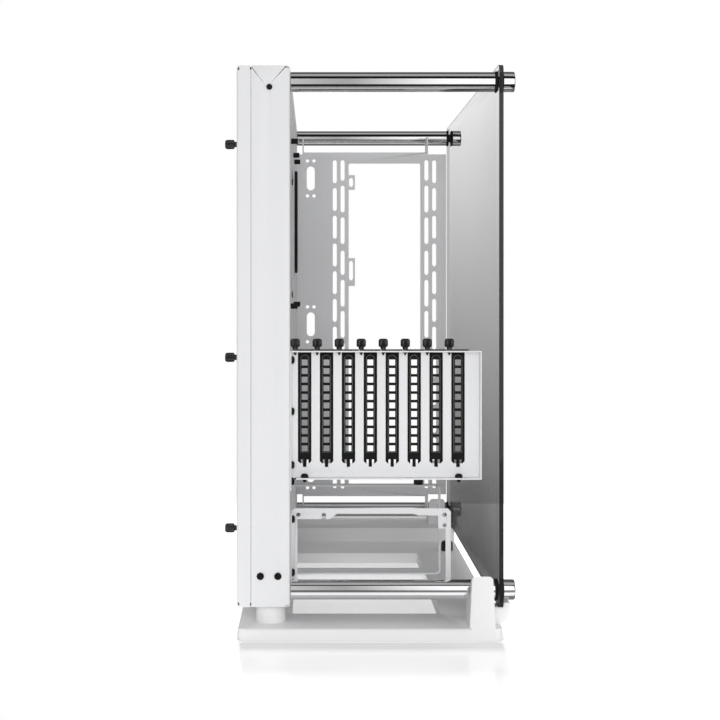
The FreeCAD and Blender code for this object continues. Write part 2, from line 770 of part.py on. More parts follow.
def make_rod_screws():
    """Screws that hold the rods from inside the tray."""
    form = stepped("rod_screw_form",
                   (-rod_screw_head_height, 0, rod_screw_head, HEAD_SIDES),
                   (0, steel + stud_grip, stud_diameter, HEAD_SIDES))
    repeated("rod_screws", form, [(tray_face - steel, along, up) for along, up in rod_places.values()])


def make_caps():
    stud = outer_washer + glass_thickness + inner_washer + stud_grip
    for name, (along, up) in rod_places.items():
        body = stepped(f"cap_{name}", (-stud, 0, stud_diameter, HEAD_SIDES),
                       (0, cap_length, cap_diameter, ROUND_SIDES))
        keep(place(body, glass_outer + outer_washer, along, up))


def make_washers():
    for name, thickness, seat in (("inner_washers", inner_washer, rod_end),
                                  ("outer_washers", outer_washer, glass_outer)):
        form = stepped(f"{name}_form", (0, thickness, washer_diameter, ROUND_SIDES))
        pocket(form, "YZ", 0, thickness, (ring, (0, 0, stud_diameter + stud_play, HEAD_SIDES)))
        repeated(name, form, [(seat, along, up) for along, up in rod_places.values()])


def make_glass():
    body = new_body("glass_panel")
    low, high = body_low - glass_overhang, body_top + glass_overhang
    panel = pad(body, "YZ", glass_inner, glass_outer, (rectangle, (near_face, far_face, low, high)))
    soften(body, panel, ALONG_X, lambda point: True, glass_corner)
    pocket(body, "YZ", glass_inner, glass_outer,
           *[(ring, (along, up, glass_hole, ROUND_SIDES)) for along, up in rod_places.values()])
    return keep(body)


# Board stand-offs and cable grommet on the tray's face

def make_standoffs():
    form = new_body("standoff_form")
    pad(form, "YZ", 0, standoff_height,
        (ring, (0, 0, standoff_width * CORNERS_PER_FLATS, HEXAGON)))
    pocket(form, "YZ", standoff_height - standoff_bore_depth, standoff_height,
           (circle, (0, 0, standoff_bore)))
    board_near = near_face + board_setback
    board_top = body_top - board_top_drop
    top_columns = [board_column_top] + board_columns[1:]
    places = [(tray_face, board_near + column, board_top) for column in top_columns]
    places += [(tray_face, board_near + column, board_top - row)
               for row in board_rows for column in board_columns]
    repeated("board_standoffs", form, places)


def make_grommet():
    body = new_body("cable_grommet")
    low = grommet_top - grommet_height
    inner = grommet_wall / 2 + fit_gap / 2
    pad(body, "YZ", tray_face, tray_face + grommet_rise,
        (upright_slot, (grommet_line, low, grommet_top, grommet_width, WIDE_END_SIDES)))
    pad(body, "YZ", tray_face - steel - grommet_bead, tray_face,
        (upright_slot, (grommet_line, low + inner, grommet_top - inner,
                        grommet_width - inner * 2, WIDE_END_SIDES)))
    hollow = grommet_wall * 2
    pocket(body, "YZ", tray_face - steel - grommet_bead, tray_face + grommet_rise,
           (upright_slot, (grommet_line, low + hollow, grommet_top - hollow,
                           grommet_width - hollow * 2, WIDE_END_SIDES)))
    return keep(body)


def make_drive_brackets():
    """Two folded plates behind the tray's face that carry flat drives."""
    low = body_low + drive_rise
    top = low + drive_length
    back = tray_face - steel - drive_depth
    for name, reach in (("drive_bracket_upper", drive_reach_upper),
                        ("drive_bracket_lower", drive_reach_lower)):
        body = new_body(name)
        start = far_face - reach
        end = start + drive_width
        pad(body, "YZ", back, tray_face - steel, (rectangle, (start, end, low, top)))
        pocket(body, "YZ", back + steel, tray_face - steel,
               (rectangle, (start + steel, end - steel, low, top)))
        pocket(body, "YZ", back, back + steel,
               (rectangle, (start + drive_border, end - drive_border, low + drive_border,
                            top - drive_border)))
        keep(body)


# Slot bracket: a shallow steel tub that opens to the rear, with eight windows

slot_count = 8
slot_middles = [tray_face + slot_first + slot_pitch * index for index in range(slot_count)]
slot_face_near = near_face + slot_bracket_setback
slot_rim = slot_face_near - slot_bracket_flange
slot_screw_line = slot_face_near - slot_bracket_flange / 2
shelf_top = slot_bracket_low + slot_bracket_height
slot_sill = slot_bracket_low + slot_window_sill
slot_flange_rows = [slot_bracket_low + rise for rise in slot_flange_rises]
foot_screw_places = (slot_middles[0], slot_middles[slot_count - 1])


def make_slot_bracket():
    body = new_body("slot_bracket")
    right = tray_face + slot_bracket_width
    block = pad(body, "XZ", slot_rim, slot_face_near + steel,
                (rectangle, (tray_face, right, slot_bracket_low, shelf_top)))
    face = slot_face_near + steel
    soften(body, block, ALONG_X, lambda point: abs(point.y - face.number) < 0.01, bend_radius / 2)
    pocket(body, "XZ", slot_rim, slot_face_near,
           (rectangle, (tray_face + steel, right - steel, slot_bracket_low + steel,
                        shelf_top - steel)))
    pad(body, "YZ", tray_face, tray_face + steel,
        (rectangle, (slot_rim, face, slot_bracket_low - slot_ear, slot_bracket_low + steel)))
    # Corner notch that clears the lowest flange screw
    pocket(body, "XY", slot_bracket_low, slot_bracket_low + steel,
           (rectangle, (tray_face + steel, tray_face + steel + slot_notch, slot_rim,
                        slot_face_near)))
    first = slot_middles[0]
    left_side, right_side = first - slot_window / 2, first + slot_window / 2
    lintel = shelf_top - steel
    window = pocket(body, "XZ", slot_face_near, face,
                    (polygon, ([(left_side, slot_sill + slot_window_corner),
                                (left_side + slot_window_corner, slot_sill),
                                (right_side - slot_window_corner, slot_sill),
                                (right_side, slot_sill + slot_window_corner),
                                (right_side, lintel), (left_side, lintel)],)))
    pattern(body, window, "H_Axis", slot_pitch, slot_count)
    tongue_side = (slot_tongue + fit_gap) / 2
    tongue = pocket(body, "XZ", slot_face_near, face,
                    (rectangle, (first - tongue_side, first + tongue_side,
                                 slot_sill - slot_tongue_drop, slot_sill)))
    pattern(body, tongue, "H_Axis", slot_pitch, slot_count)
    hole = pocket(body, "XY", shelf_top - steel, shelf_top,
                  (ring, (first - slot_screw_offset, slot_screw_line, thumb_shank + screw_play,
                          SHANK_SIDES)))
    pattern(body, hole, "H_Axis", slot_pitch, slot_count)
    pocket(body, "XY", slot_bracket_low, slot_bracket_low + steel,
           *[(ring, (across, slot_screw_line, pan_shank + screw_play, SHANK_SIDES))
             for across in foot_screw_places])
    pocket(body, "YZ", tray_face, tray_face + steel,
           *[(ring, (slot_screw_line, up, pan_shank + screw_play, SHANK_SIDES))
             for up in slot_flange_rows])
    return keep(body)


def make_slot_covers():
    vent_count = 11
    back = slot_face_near + steel
    face = back + slot_cover_sheet
    top = shelf_top + slot_cover_sheet
    half = slot_cover_width / 2
    tongue = slot_tongue / 2
    tongue_low = slot_sill - slot_tongue_drop + fit_gap
    gap = tongue + slot_cover_notch
    gap_top = slot_sill + slot_cover_rise
    foot = slot_sill - slot_cover_lap
    notch = (thumb_shank + screw_play) / 2
    lowest = shelf_top - slot_vent_drop - slot_vent_pitch * (vent_count - 1)
    for index, middle in enumerate(slot_middles, start=1):
        body = new_body(f"slot_cover_{index}")
        pad(body, "XZ", back, face,
            (polygon, ([(middle - half, foot), (middle - gap, foot), (middle - gap, gap_top),
                        (middle - tongue, gap_top), (middle - tongue, tongue_low),
                        (middle + tongue, tongue_low), (middle + tongue, gap_top),
                        (middle + gap, gap_top), (middle + gap, foot), (middle + half, foot),
                        (middle + half, top), (middle - half, top)],)))
        # Tab on the bracket's shelf, with an open notch for its thumbscrew
        left = middle - half - slot_tab_side
        notch_right = middle - slot_screw_offset + notch
        pad(body, "XY", shelf_top, top,
            (polygon, ([(left, slot_rim + slot_tab_inset), (middle + half, slot_rim + slot_tab_inset),
                        (middle + half, face), (left, face), (left, slot_screw_line + notch),
                        (notch_right, slot_screw_line + notch),
                        (notch_right, slot_screw_line - notch), (left, slot_screw_line - notch)],)))
        vent = pocket(body, "XZ", back, face,
                      (rectangle, (middle - slot_vent / 2, middle + slot_vent / 2,
                                   lowest - slot_vent / 2, lowest + slot_vent / 2)))
        pattern(body, vent, "V_Axis", slot_vent_pitch, vent_count)
        keep(body)


# Radiator bracket: an upright plate between the two far rods

radiator_near = near_face + radiator_setback
radiator_far = radiator_near + radiator_sheet
radiator_top = radiator_low + radiator_height
radiator_screw_line = radiator_far + radiator_flange / 2
radiator_screw_rows = (radiator_low + radiator_flange_margin + radiator_screw_inset,
                       radiator_low + radiator_height / 2,
                       radiator_top - radiator_flange_margin - radiator_screw_inset)


def make_radiator_bracket():
    body = new_body("radiator_bracket")
    near, far = radiator_near, radiator_far
    first = tray_face + radiator_tab_first
    second = tray_face + radiator_tab_second
    right = tray_face + radiator_width
    shoulder_low = radiator_low + radiator_shoulder
    shoulder_top = radiator_top - radiator_shoulder
    pad(body, "XZ", near, far,
        (polygon, ([(tray_face, shoulder_low), (first, shoulder_low), (first, radiator_low),
                    (second, radiator_low), (second, shoulder_low), (right, shoulder_low),
                    (right, shoulder_top), (second, shoulder_top), (second, radiator_top),
                    (first, radiator_top), (first, shoulder_top), (tray_face, shoulder_top)],)))
    # Flange on the tray, and four tabs that cradle the rods
    pad(body, "YZ", tray_face, tray_face + radiator_sheet,
        (rectangle, (near, far + radiator_flange, shoulder_low + radiator_flange_margin,
                     shoulder_top - radiator_flange_margin)))
    pocket(body, "YZ", tray_face, tray_face + radiator_sheet,
           *[(ring, (radiator_screw_line, up, pan_shank + screw_play, SHANK_SIDES))
             for up in radiator_screw_rows])
    tab_far = rod_far + rod_diameter / 2 + radiator_tab_margin
    for across in (first, second - radiator_sheet):
        pad(body, "YZ", across, across + radiator_sheet,
            (rectangle, (near, tab_far, radiator_top - radiator_tab_height, rod_top)),
            (rectangle, (near, tab_far, rod_low, radiator_low + radiator_tab_height)))
        pocket(body, "YZ", across, across + radiator_sheet,
               (ring, (rod_far, rod_top, rod_diameter + screw_play, ROUND_SIDES)),
               (ring, (rod_far, rod_low, rod_diameter + screw_play, ROUND_SIDES)))
    middle = tray_face + fan_centre
    edge = middle - radiator_window_width / 2
    window_top = radiator_top - radiator_window_margin
    pocket(body, "XZ", near, far,
           (cut_rectangle, (edge, middle + radiator_window_width / 2,
                            radiator_low + radiator_window_margin, window_top,
                            radiator_window_corner)))
    # Cable tabs on the window's edge
    for drop, length, hole in (
            (cable_tab_drop_top, cable_tab_length_top, cable_hole_length_top),
            (cable_tab_drop_low, cable_tab_length_low, cable_hole_length_low)):
        tab_top = window_top - drop
        hole_top = tab_top - cable_hole_drop
        pad(body, "XZ", near, far,
            (rectangle, (edge - cable_tab_root, edge + cable_tab, tab_top - length, tab_top)))
        pocket(body, "XZ", near, far,
               (upright_slot, (edge + cable_tab / 2 - cable_tab_root, hole_top - hole, hole_top,
                               fan_slot_width, SLOT_END_SIDES)))
    # Fan slots for both fan sizes
    outer_count = 12
    lowest = (radiator_top - fan_slot_margin - outer_slot_length
              - outer_slot_pitch * (outer_count - 1))
    outer = pocket(body, "XZ", near, far,
                   *[(upright_slot, (middle + side * outer_slot_spacing / 2, lowest,
                                     lowest + outer_slot_length, fan_slot_width, SLOT_END_SIDES))
                     for side in (-1, 1)])
    pattern(body, outer, "V_Axis", outer_slot_pitch, outer_count)
    level = radiator_low + radiator_height / 2
    for offset, length in zip(inner_slot_places, inner_slot_lengths):
        levels = (level,) if offset.number == 0 else (level - offset, level + offset)
        pocket(body, "XZ", near, far,
               *[(upright_slot, (middle + side * inner_slot_spacing / 2, up - length / 2,
                                 up + length / 2, fan_slot_width, SLOT_END_SIDES))
                 for side in (-1, 1) for up in levels])
    # Pump mounts: a wide slot between four holes, three times
    pump_count = 3
    pump = tray_face + pump_slot_offset
    pump_low = radiator_top - pump_slot_drop - pump_slot_pitch * (pump_count - 1)
    slot = pocket(body, "XZ", near, far,
                  (upright_slot, (pump, pump_low - pump_slot_length / 2,
                                  pump_low + pump_slot_length / 2, pump_slot_width,
                                  WIDE_END_SIDES)),
                  *[(ring, (pump + side * pump_hole_spacing_across / 2,
                            pump_low + end * pump_hole_spacing_up / 2, pump_hole, SHANK_SIDES))
                    for side in (-1, 1) for end in (-1, 1)])
    pattern(body, slot, "V_Axis", pump_slot_pitch, pump_count)
    return keep(body)


# Power supply bracket and strap

supply_screw_line = near_face + supply_setback - supply_flange / 2
supply_left = tray_face + steel
supply_top = supply_low + supply_height
supply_screw_rows = [supply_top - drop for drop in supply_screw_drops]


def make_supply_bracket():
    body = new_body("power_bracket")
    near = near_face + supply_setback
    far = near + steel
    right = supply_left + supply_width
    pad(body, "XZ", near, far,
        (polygon, ([(tray_face, supply_low), (right, supply_low), (right, supply_top - supply_corner),
                    (right - supply_corner, supply_top), (tray_face + supply_corner, supply_top),
                    (tray_face, supply_top - supply_corner)],)))
    pad(body, "YZ", tray_face, tray_face + steel,
        (rectangle, (near - supply_flange, far, supply_low, supply_top - supply_corner)))
    # Opening for the power supply's face, leaving tabs for its screws
    inner_left = supply_left + supply_frame
    inner_right = right - supply_frame
    inner_top = supply_top - supply_frame
    tab_low = supply_top - supply_tab
    tab_right = inner_left + supply_tab_length
    side_tab = inner_right - supply_side_tab
    side_tab_low = supply_top - supply_side_tab_drop
    lug_left = side_tab - supply_lug
    lug_low = inner_top - supply_lug_drop
    pocket(body, "XZ", near, far,
           (polygon, ([(inner_left, supply_low + supply_frame), (inner_right, supply_low + supply_frame),
                       (inner_right, side_tab_low), (side_tab, side_tab_low), (side_tab, lug_low),
                       (lug_left, lug_low), (lug_left - supply_lug_slope, inner_top),
                       (tab_right, inner_top), (tab_right - supply_tab_slope, tab_low),
                       (inner_left, tab_low)],)))
    first_hole = supply_left + supply_hole_inset
    last_hole = first_hole + supply_hole_spacing
    hole_line = supply_top - supply_hole_inset
    pocket(body, "XZ", near, far,
           (circle, (first_hole, hole_line, supply_hole)),
           (circle, (last_hole, hole_line, supply_hole)),
           (ring, (last_hole, hole_line - supply_hole_drop, supply_hole, HEAD_SIDES)),
           (upright_slot, (last_hole - supply_hole_near, tab_low - supply_slot_drop,
                           hole_line + supply_hole / 2, supply_hole, SLOT_END_SIDES)))
    pocket(body, "YZ", tray_face, tray_face + steel,
           *[(ring, (supply_screw_line, up, pan_shank + screw_play, SHANK_SIDES))
             for up in supply_screw_rows])
    return keep(body)


strap_top = supply_top + strap_play + strap_sheet
strap_low = supply_low - strap_play_under - strap_sheet
strap_right = supply_left + supply_width + strap_sheet
strap_line = near_face + strap_setback + strap_width / 2


def make_strap():
    body = new_body("power_strap")
    near = near_face + strap_setback
    far = near + strap_width
    loop = pad(body, "XZ", near, far,
               (rectangle, (tray_face, strap_right, strap_low, strap_top)))
    right = strap_right.number
    soften(body, loop, ALONG_Y, lambda point: abs(point.x - right) < 0.01, strap_corner)
    inside = pocket(body, "XZ", near, far,
                    (rectangle, (tray_face, strap_right - strap_sheet, strap_low + strap_sheet,
                                 strap_top - strap_sheet)))
    inner = (strap_right - strap_sheet).number
    soften(body, inside, ALONG_Y, lambda point: abs(point.x - inner) < 0.01,
           strap_corner - strap_sheet)
    pad(body, "YZ", tray_face, tray_face + strap_sheet,
        (rectangle, (near, far, strap_top - strap_sheet, strap_top + strap_foot)))
    pocket(body, "YZ", tray_face, tray_face + strap_sheet,
           (ring, (strap_line, strap_top + strap_screw_rise, pan_shank + screw_play, SHANK_SIDES)))
    return keep(body)


def make_strap_knob():
    body = stepped("strap_knob", (0, strap_knob_height, strap_knob_diameter, ROUND_SIDES))
    body.Placement = FreeCAD.Placement(FreeCAD.Vector(), UPWARDS)
    return keep(place(body, tray_face + strap_knob_offset, strap_line, strap_top))


# Stand: one moulded frame with two windows, a raised front and two rod uprights

stand_near = near_face - stand_overhang
stand_far = stand_near + stand_length
stand_back_edge = tray_face - stand_back
stand_front_edge = tray_face + stand_front


def make_stand():
    body = new_body("stand")
    near, far, back, front = stand_near, stand_far, stand_back_edge, stand_front_edge
    pad(body, "XY", stand_foot, stand_height, (rectangle, (back, front, near, far)))
    step_near = near + stand_step_near
    step_edge = tray_face - stand_step_back
    block = pad(body, "XY", stand_height, stand_height + stand_step_rise,
                (rectangle, (step_edge, front, step_near, far)))
    soften(body, block, ALONG_Z,
           lambda point: abs(point.y - step_near.number) > 1 and abs(point.x - step_edge.number) > 1,
           stand_corner)
    # Windows
    window_left = tray_face + stand_window_inset
    window_right = tray_face + stand_window_front
    first_near = near + stand_window_near
    second_near = first_near + stand_window_first + stand_window_bar
    second_far = second_near + stand_window_second
    pocket(body, "XY", stand_foot, stand_height,
           (cut_rectangle, (window_left, window_right, first_near, first_near + stand_window_first,
                            stand_window_corner)),
           (cut_rectangle, (window_left, window_right, second_near, second_far,
                            stand_window_corner)))
    # Uprights round the low rods, and the lips under the caps outside the glass
    upright_left = tray_face + upright_near_edge
    upright_right = upright_left + upright_foot_width
    draft = (upright_foot_width - upright_top_width) / 2
    root = stand_height - moulded_root
    lip_base = front - lip_root
    lip_middle = front - lip_start
    reach = tray_face + lip_reach
    seat = body_low - glass_overhang - screw_play
    lip_inside = glass_outer + screw_play
    lip_level = stand_height + lip_round
    lobe_sides = 4
    lobe = [(lip_middle + (reach - lip_middle) * math.sin(math.pi / 2 * index / lobe_sides),
             lip_level - lip_round * math.cos(math.pi / 2 * index / lobe_sides))
            for index in range(lobe_sides + 1)]
    step_top = stand_height + stand_step_rise
    for rod_line in (rod_near, rod_far):
        start = rod_line - rod_inset_along - stand_overhang
        end = start + upright_depth
        block = pad(body, "XZ", start, end,
                    (polygon, ([(upright_left, root), (upright_right, root),
                                (upright_right - draft, upright_height),
                                (upright_left + draft, upright_height)],)))
        middle = start + upright_depth / 2
        soften(body, block, ALONG_Y,
               lambda point: abs(point.z - upright_height.number) < 0.01
               and abs(point.y - middle.number) < 1, upright_round)
        lip_near = rod_line - lip_length / 2
        pad(body, "XZ", lip_near, lip_near + lip_length,
            (polygon, ([(lip_base, root), (lip_middle, root)] + lobe
                       + [(reach, lip_rise), (lip_inside, lip_rise), (lip_inside, seat),
                          (lip_base, seat)],)))
        # Behind its front plate each upright slopes down under the rod, which it cradles
        pocket(body, "YZ", upright_left, upright_right,
               (polygon, ([(start + upright_plate, upright_saddle), (end, step_top),
                           (end, upright_height), (start + upright_plate, upright_height)],)))
        pocket(body, "YZ", upright_left, upright_right,
               (ring, (rod_line, rod_low, rod_diameter + screw_play, ROUND_SIDES)))
    # Rebate in the raised end that clears the glass
    pocket(body, "XY", seat, step_top,
           (rectangle, (glass_inner - screw_play, lip_inside, step_near, far)))
    # Shallow ribbed cells in the underside: two side strips, and the far end
    ceiling = stand_foot + stand_cell_depth
    foot_reach = stand_foot_inset + stand_foot_diameter / 2 + stand_rib
    strip_near = near + foot_reach
    strip_far = far - foot_reach
    cells = 5
    cell = (strip_far - strip_near - stand_rib * (cells - 1)) / cells
    strips = pocket(body, "XY", stand_foot, ceiling,
                    (rectangle, (back + stand_rim, window_left - stand_wall, strip_near,
                                 strip_near + cell)),
                    (rectangle, (window_right + stand_wall, front - stand_rim, strip_near,
                                 strip_near + cell)))
    pattern(body, strips, "V_Axis", cell + stand_rib, cells)
    half = (window_right - window_left) / 2
    pocket(body, "XY", stand_foot, ceiling,
           *[(rectangle, (window_left + stand_wall + half * index,
                          window_left - stand_wall + half * (index + 1),
                          second_far + stand_wall, far - stand_rim))
             for index in (0, 1)])
    return keep(body)


def make_columns():
    """Tapered columns between the stand and the steel body."""
    height = body_low - stand_height
    lean = f"atan(({(column_low_diameter - column_top_diameter).text}) / 2 / {height.text})"
    for name, along in (("column_near", near_face + column_inset),
                        ("column_far", far_face - column_inset)):
        body = new_body(name)
        prism = pad(body, "XY", 0, height, (ring, (0, 0, column_low_diameter, ROUND_SIDES)))
        narrow_upwards(body, prism, lean)
        keep(place(body, tray_face - column_back, along, stand_height))


def make_stand_feet():
    form = new_body("stand_foot_form")
    pad(form, "XY", 0, stand_foot, (ring, (0, 0, stand_foot_diameter, ROUND_SIDES)))
    repeated("stand_feet", form,
             [(across, along, 0)
              for across in (stand_back_edge + stand_foot_inset, stand_front_edge - stand_foot_inset)
              for along in (stand_near + stand_foot_inset, stand_far - stand_foot_inset)])


def make_stand_knob():
    body = stepped("stand_knob", (0, stand_knob_height, stand_knob_diameter, ROUND_SIDES))
    body.Placement = FreeCAD.Placement(FreeCAD.Vector(), UPWARDS)
    return keep(place(body, tray_face + stand_knob_offset, stand_near + stand_knob_near,
                      stand_height))


# Front ports: a bezel in the far side, with two buttons, ports and their board

panel_low = panel_top - panel_height
power_line = panel_top - power_drop
reset_line = panel_top - reset_drop
jack_line = panel_top - jack_drop
small_port_line = panel_top - small_port_drop
usb_lines = [panel_top - drop for drop in usb_drops]
board_far = far_face - steel - board_gap


def make_panel():
    body = new_body("port_panel")
    half = panel_width / 2
    skirt_near = far_face - steel - panel_skirt
    mouth = far_face + panel_sheet
    pad(body, "XZ", far_face, mouth,
        (cut_rectangle, (panel_middle - half - panel_rim, panel_middle + half + panel_rim,
                         panel_low - panel_rim, panel_top + panel_rim, panel_corner)))
    gap = fit_gap / 2
    pad(body, "XZ", skirt_near, far_face,
        (rectangle, (panel_middle - half + gap, panel_middle + half - gap, panel_low + gap,
                     panel_top - gap)))
    between = (power_line + reset_line + (reset_diameter - power_diameter) / 2) / 2
    pad(body, "XZ", board_far, skirt_near,
        (ring, (panel_middle, between, panel_post, SHANK_SIDES)),
        (ring, (panel_middle, panel_low + panel_post_rise, panel_post, SHANK_SIDES)))
    pocket(body, "XZ", skirt_near, mouth,
           (ring, (panel_middle, power_line, power_diameter + screw_play, ROUND_SIDES)),
           (ring, (panel_middle, reset_line, reset_diameter + screw_play, HEAD_SIDES)),
           (ring, (panel_middle, jack_line, jack_diameter + screw_play, HEAD_SIDES)),
           (upright_slot, (panel_middle, small_port_line - small_port_height / 2 - fit_gap,
                           small_port_line + small_port_height / 2 + fit_gap,
                           small_port_width + screw_play, SLOT_END_SIDES)),
           *[(rectangle, (panel_middle - usb_width / 2 - fit_gap, panel_middle + usb_width / 2 + fit_gap,
                          line - usb_height / 2 - fit_gap, line + usb_height / 2 + fit_gap))
             for line in usb_lines])
    return keep(body)


def make_port_board():
    body = new_body("port_board")
    half = panel_width / 2 - board_inset
    pad(body, "XZ", board_far - board_sheet, board_far,
        (rectangle, (panel_middle - half, panel_middle + half, panel_low + board_inset,
                     panel_top - board_inset)))
    square = switch_width / 2
    pad(body, "XZ", board_far, board_far + switch_height,
        *[(rectangle, (panel_middle - square, panel_middle + square, line - square, line + square))
          for line in (power_line, reset_line)])
    return keep(body)


def make_button(name, line, diameter, sides):
    """A round cap with a stem that ends one travel above its switch."""
    body = new_body(name)
    cap_back = far_face - steel - panel_skirt
    skirt_back = cap_back - button_skirt_height
    stem_end = board_far + switch_height + button_travel + fit_gap
    for start, end, width, count in (
            (cap_back, far_face + panel_sheet + button_proud, diameter, sides),
            (skirt_back, cap_back, diameter + button_skirt, sides),
            (stem_end, skirt_back, button_stem, SHANK_SIDES)):
        pad(body, "XZ", start, end, (ring, (panel_middle, line, width, count)))
    return keep(body)


def make_ports():
    mouth = far_face + panel_sheet
    floor = board_far + port_floor
    for name, line in (("usb_port_upper", usb_lines[0]), ("usb_port_lower", usb_lines[1])):
        body = new_body(name)
        half = usb_height / 2
        pad(body, "XZ", board_far, mouth,
            (rectangle, (panel_middle - usb_width / 2, panel_middle + usb_width / 2,
                         line - half, line + half)))
        inside = usb_width / 2 - port_wall
        pocket(body, "XZ", floor, mouth,
               (rectangle, (panel_middle - inside, panel_middle + inside,
                            line - half + port_wall, line + half - port_wall)))
        pad(body, "XZ", floor, mouth - port_recess,
            (rectangle, (panel_middle - usb_tongue, panel_middle,
                         line - usb_tongue_height / 2, line + usb_tongue_height / 2)))
        keep(body)
    body = new_body("small_port")
    half = small_port_height / 2
    wall = port_wall / 2
    pad(body, "XZ", board_far, mouth,
        (upright_slot, (panel_middle, small_port_line - half, small_port_line + half,
                        small_port_width, SLOT_END_SIDES)))
    pocket(body, "XZ", floor, mouth,
           (upright_slot, (panel_middle, small_port_line - half + wall, small_port_line + half - wall,
                           small_port_width - port_wall, SLOT_END_SIDES)))
    keep(body)
    body = new_body("audio_jack")
    pad(body, "XZ", board_far, mouth, (ring, (panel_middle, jack_line, jack_diameter, HEAD_SIDES)))
    pocket(body, "XZ", floor, mouth, (ring, (panel_middle, jack_line, jack_bore, HEAD_SIDES)))
    keep(body)


make_tray()
make_cover_rails()
make_cover()
make_rods()
make_rod_screws()
make_caps()
make_washers()
make_glass()
make_standoffs()
make_grommet()
make_drive_brackets()
make_slot_bracket()
make_slot_covers()
make_radiator_bracket()
make_supply_bracket()
make_strap()
make_strap_knob()
make_stand()
make_columns()
make_stand_feet()
make_stand_knob()
make_panel()
make_port_board()
make_button("power_button", power_line, power_diameter, ROUND_SIDES)
make_button("reset_button", reset_line, reset_diameter, HEAD_SIDES)
make_ports()
make_fasteners()
doc.recompute()

# Every object is checked before anything is written
for item in doc.Objects:
    if "Invalid" in item.State or "Error" in item.State:
        raise RuntimeError(f"{item.Label} failed: {item.State}")
for item in exported:
    if item.Shape.isNull() or not item.Shape.isValid():
        raise RuntimeError(f"{item.Label} has no valid shape")

os.makedirs("parts", exist_ok=True)
for item in exported:
    item.Shape.exportStep(f"parts/{item.Label}.step")
    print(item.Label, len(item.Shape.Solids), round(item.Shape.Volume, 1))
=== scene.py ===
import math

import bmesh
import bpy
from mathutils import Matrix, Vector


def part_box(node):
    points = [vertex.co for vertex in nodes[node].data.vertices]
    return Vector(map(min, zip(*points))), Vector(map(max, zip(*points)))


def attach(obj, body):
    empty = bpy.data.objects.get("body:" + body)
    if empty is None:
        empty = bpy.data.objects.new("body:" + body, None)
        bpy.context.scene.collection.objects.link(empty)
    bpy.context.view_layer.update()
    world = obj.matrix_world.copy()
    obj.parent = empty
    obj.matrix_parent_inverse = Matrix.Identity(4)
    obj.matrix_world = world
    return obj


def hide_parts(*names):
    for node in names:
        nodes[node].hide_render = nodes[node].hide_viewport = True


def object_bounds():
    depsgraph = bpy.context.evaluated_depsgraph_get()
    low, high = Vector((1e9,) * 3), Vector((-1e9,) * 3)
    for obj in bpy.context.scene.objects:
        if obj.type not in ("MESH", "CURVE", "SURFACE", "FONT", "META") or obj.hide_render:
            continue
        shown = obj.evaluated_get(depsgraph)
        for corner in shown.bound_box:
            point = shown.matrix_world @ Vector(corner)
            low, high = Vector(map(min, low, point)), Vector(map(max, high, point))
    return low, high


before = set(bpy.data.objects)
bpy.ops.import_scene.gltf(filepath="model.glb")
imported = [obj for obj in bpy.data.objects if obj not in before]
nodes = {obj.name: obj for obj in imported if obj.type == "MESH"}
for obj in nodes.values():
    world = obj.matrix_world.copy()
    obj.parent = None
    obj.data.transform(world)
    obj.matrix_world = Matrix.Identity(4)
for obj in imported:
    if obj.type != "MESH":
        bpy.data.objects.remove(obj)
cad_low, cad_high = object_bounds()
MM = 0.001
HAIR = 1e-6
CLOSE = 5e-5
SMOOTH_ANGLE = math.radians(30)


# Shop tools: selecting, editing and placing

def alone(piece):
    """Makes piece the only selected object."""
    bpy.ops.object.select_all(action="DESELECT")
    piece.select_set(True)
    bpy.context.view_layer.objects.active = piece


def edit(piece):
    alone(piece)
    bpy.ops.object.mode_set(mode="EDIT")


def done():
    bpy.ops.object.mode_set(mode="OBJECT")


def choose(piece, kind, wanted):
    """In edit mode, selects only the points, edges or faces for which wanted is true."""
    bpy.ops.mesh.select_mode(type=kind)
    bpy.ops.mesh.select_all(action="DESELECT")
    shape = bmesh.from_edit_mesh(piece.data)
    parts = {"VERT": shape.verts, "EDGE": shape.edges, "FACE": shape.faces}[kind]
    for part in parts:
        if wanted(part):
            part.select_set(True)
    shape.select_flush_mode()
    bmesh.update_edit_mesh(piece.data)


def modify(piece, kind, **settings):
    """Adds one modifier and applies it."""
    alone(piece)
    modifier = piece.modifiers.new(kind, kind)
    for name, value in settings.items():
        setattr(modifier, name, value)
    bpy.ops.object.modifier_apply(modifier=modifier.name)


def soften(piece, width, sides=2, angle=35):
    """Rounds every sharp edge by width, in millimetres."""
    modify(piece, "BEVEL", width=width * MM, segments=sides, limit_method="ANGLE",
           angle_limit=math.radians(angle), use_clamp_overlap=True, miter_outer="MITER_ARC",
           harden_normals=False)


def cut(piece, cutter):
    modify(piece, "BOOLEAN", object=cutter, operation="DIFFERENCE", solver="EXACT")
    bpy.data.objects.remove(cutter)


def joined(pieces):
    bpy.ops.object.select_all(action="DESELECT")
    for piece in pieces:
        piece.select_set(True)
    bpy.context.view_layer.objects.active = pieces[0]
    bpy.ops.object.join()
    return pieces[0]


def settle(piece):
    """Puts the piece's place, turn and size into its mesh."""
    alone(piece)
    bpy.ops.object.transform_apply(location=True, rotation=True, scale=True)
    return piece


def block(low, high):
    """A box between two corners, in millimetres."""
    low, high = Vector(low), Vector(high)
    bpy.ops.mesh.primitive_cube_add(size=1, location=(low + high) / 2 * MM)
    piece = bpy.context.active_object
    piece.scale = (high - low) * MM
    return settle(piece)


def barrel(place, diameter, length, sides):
    """A round bar along X with its middle at place, in millimetres."""
    bpy.ops.mesh.primitive_cylinder_add(vertices=sides, radius=diameter / 2 * MM,
                                        depth=length * MM, location=Vector(place) * MM,
                                        rotation=(0, math.pi / 2, 0))
    return settle(bpy.context.active_object)


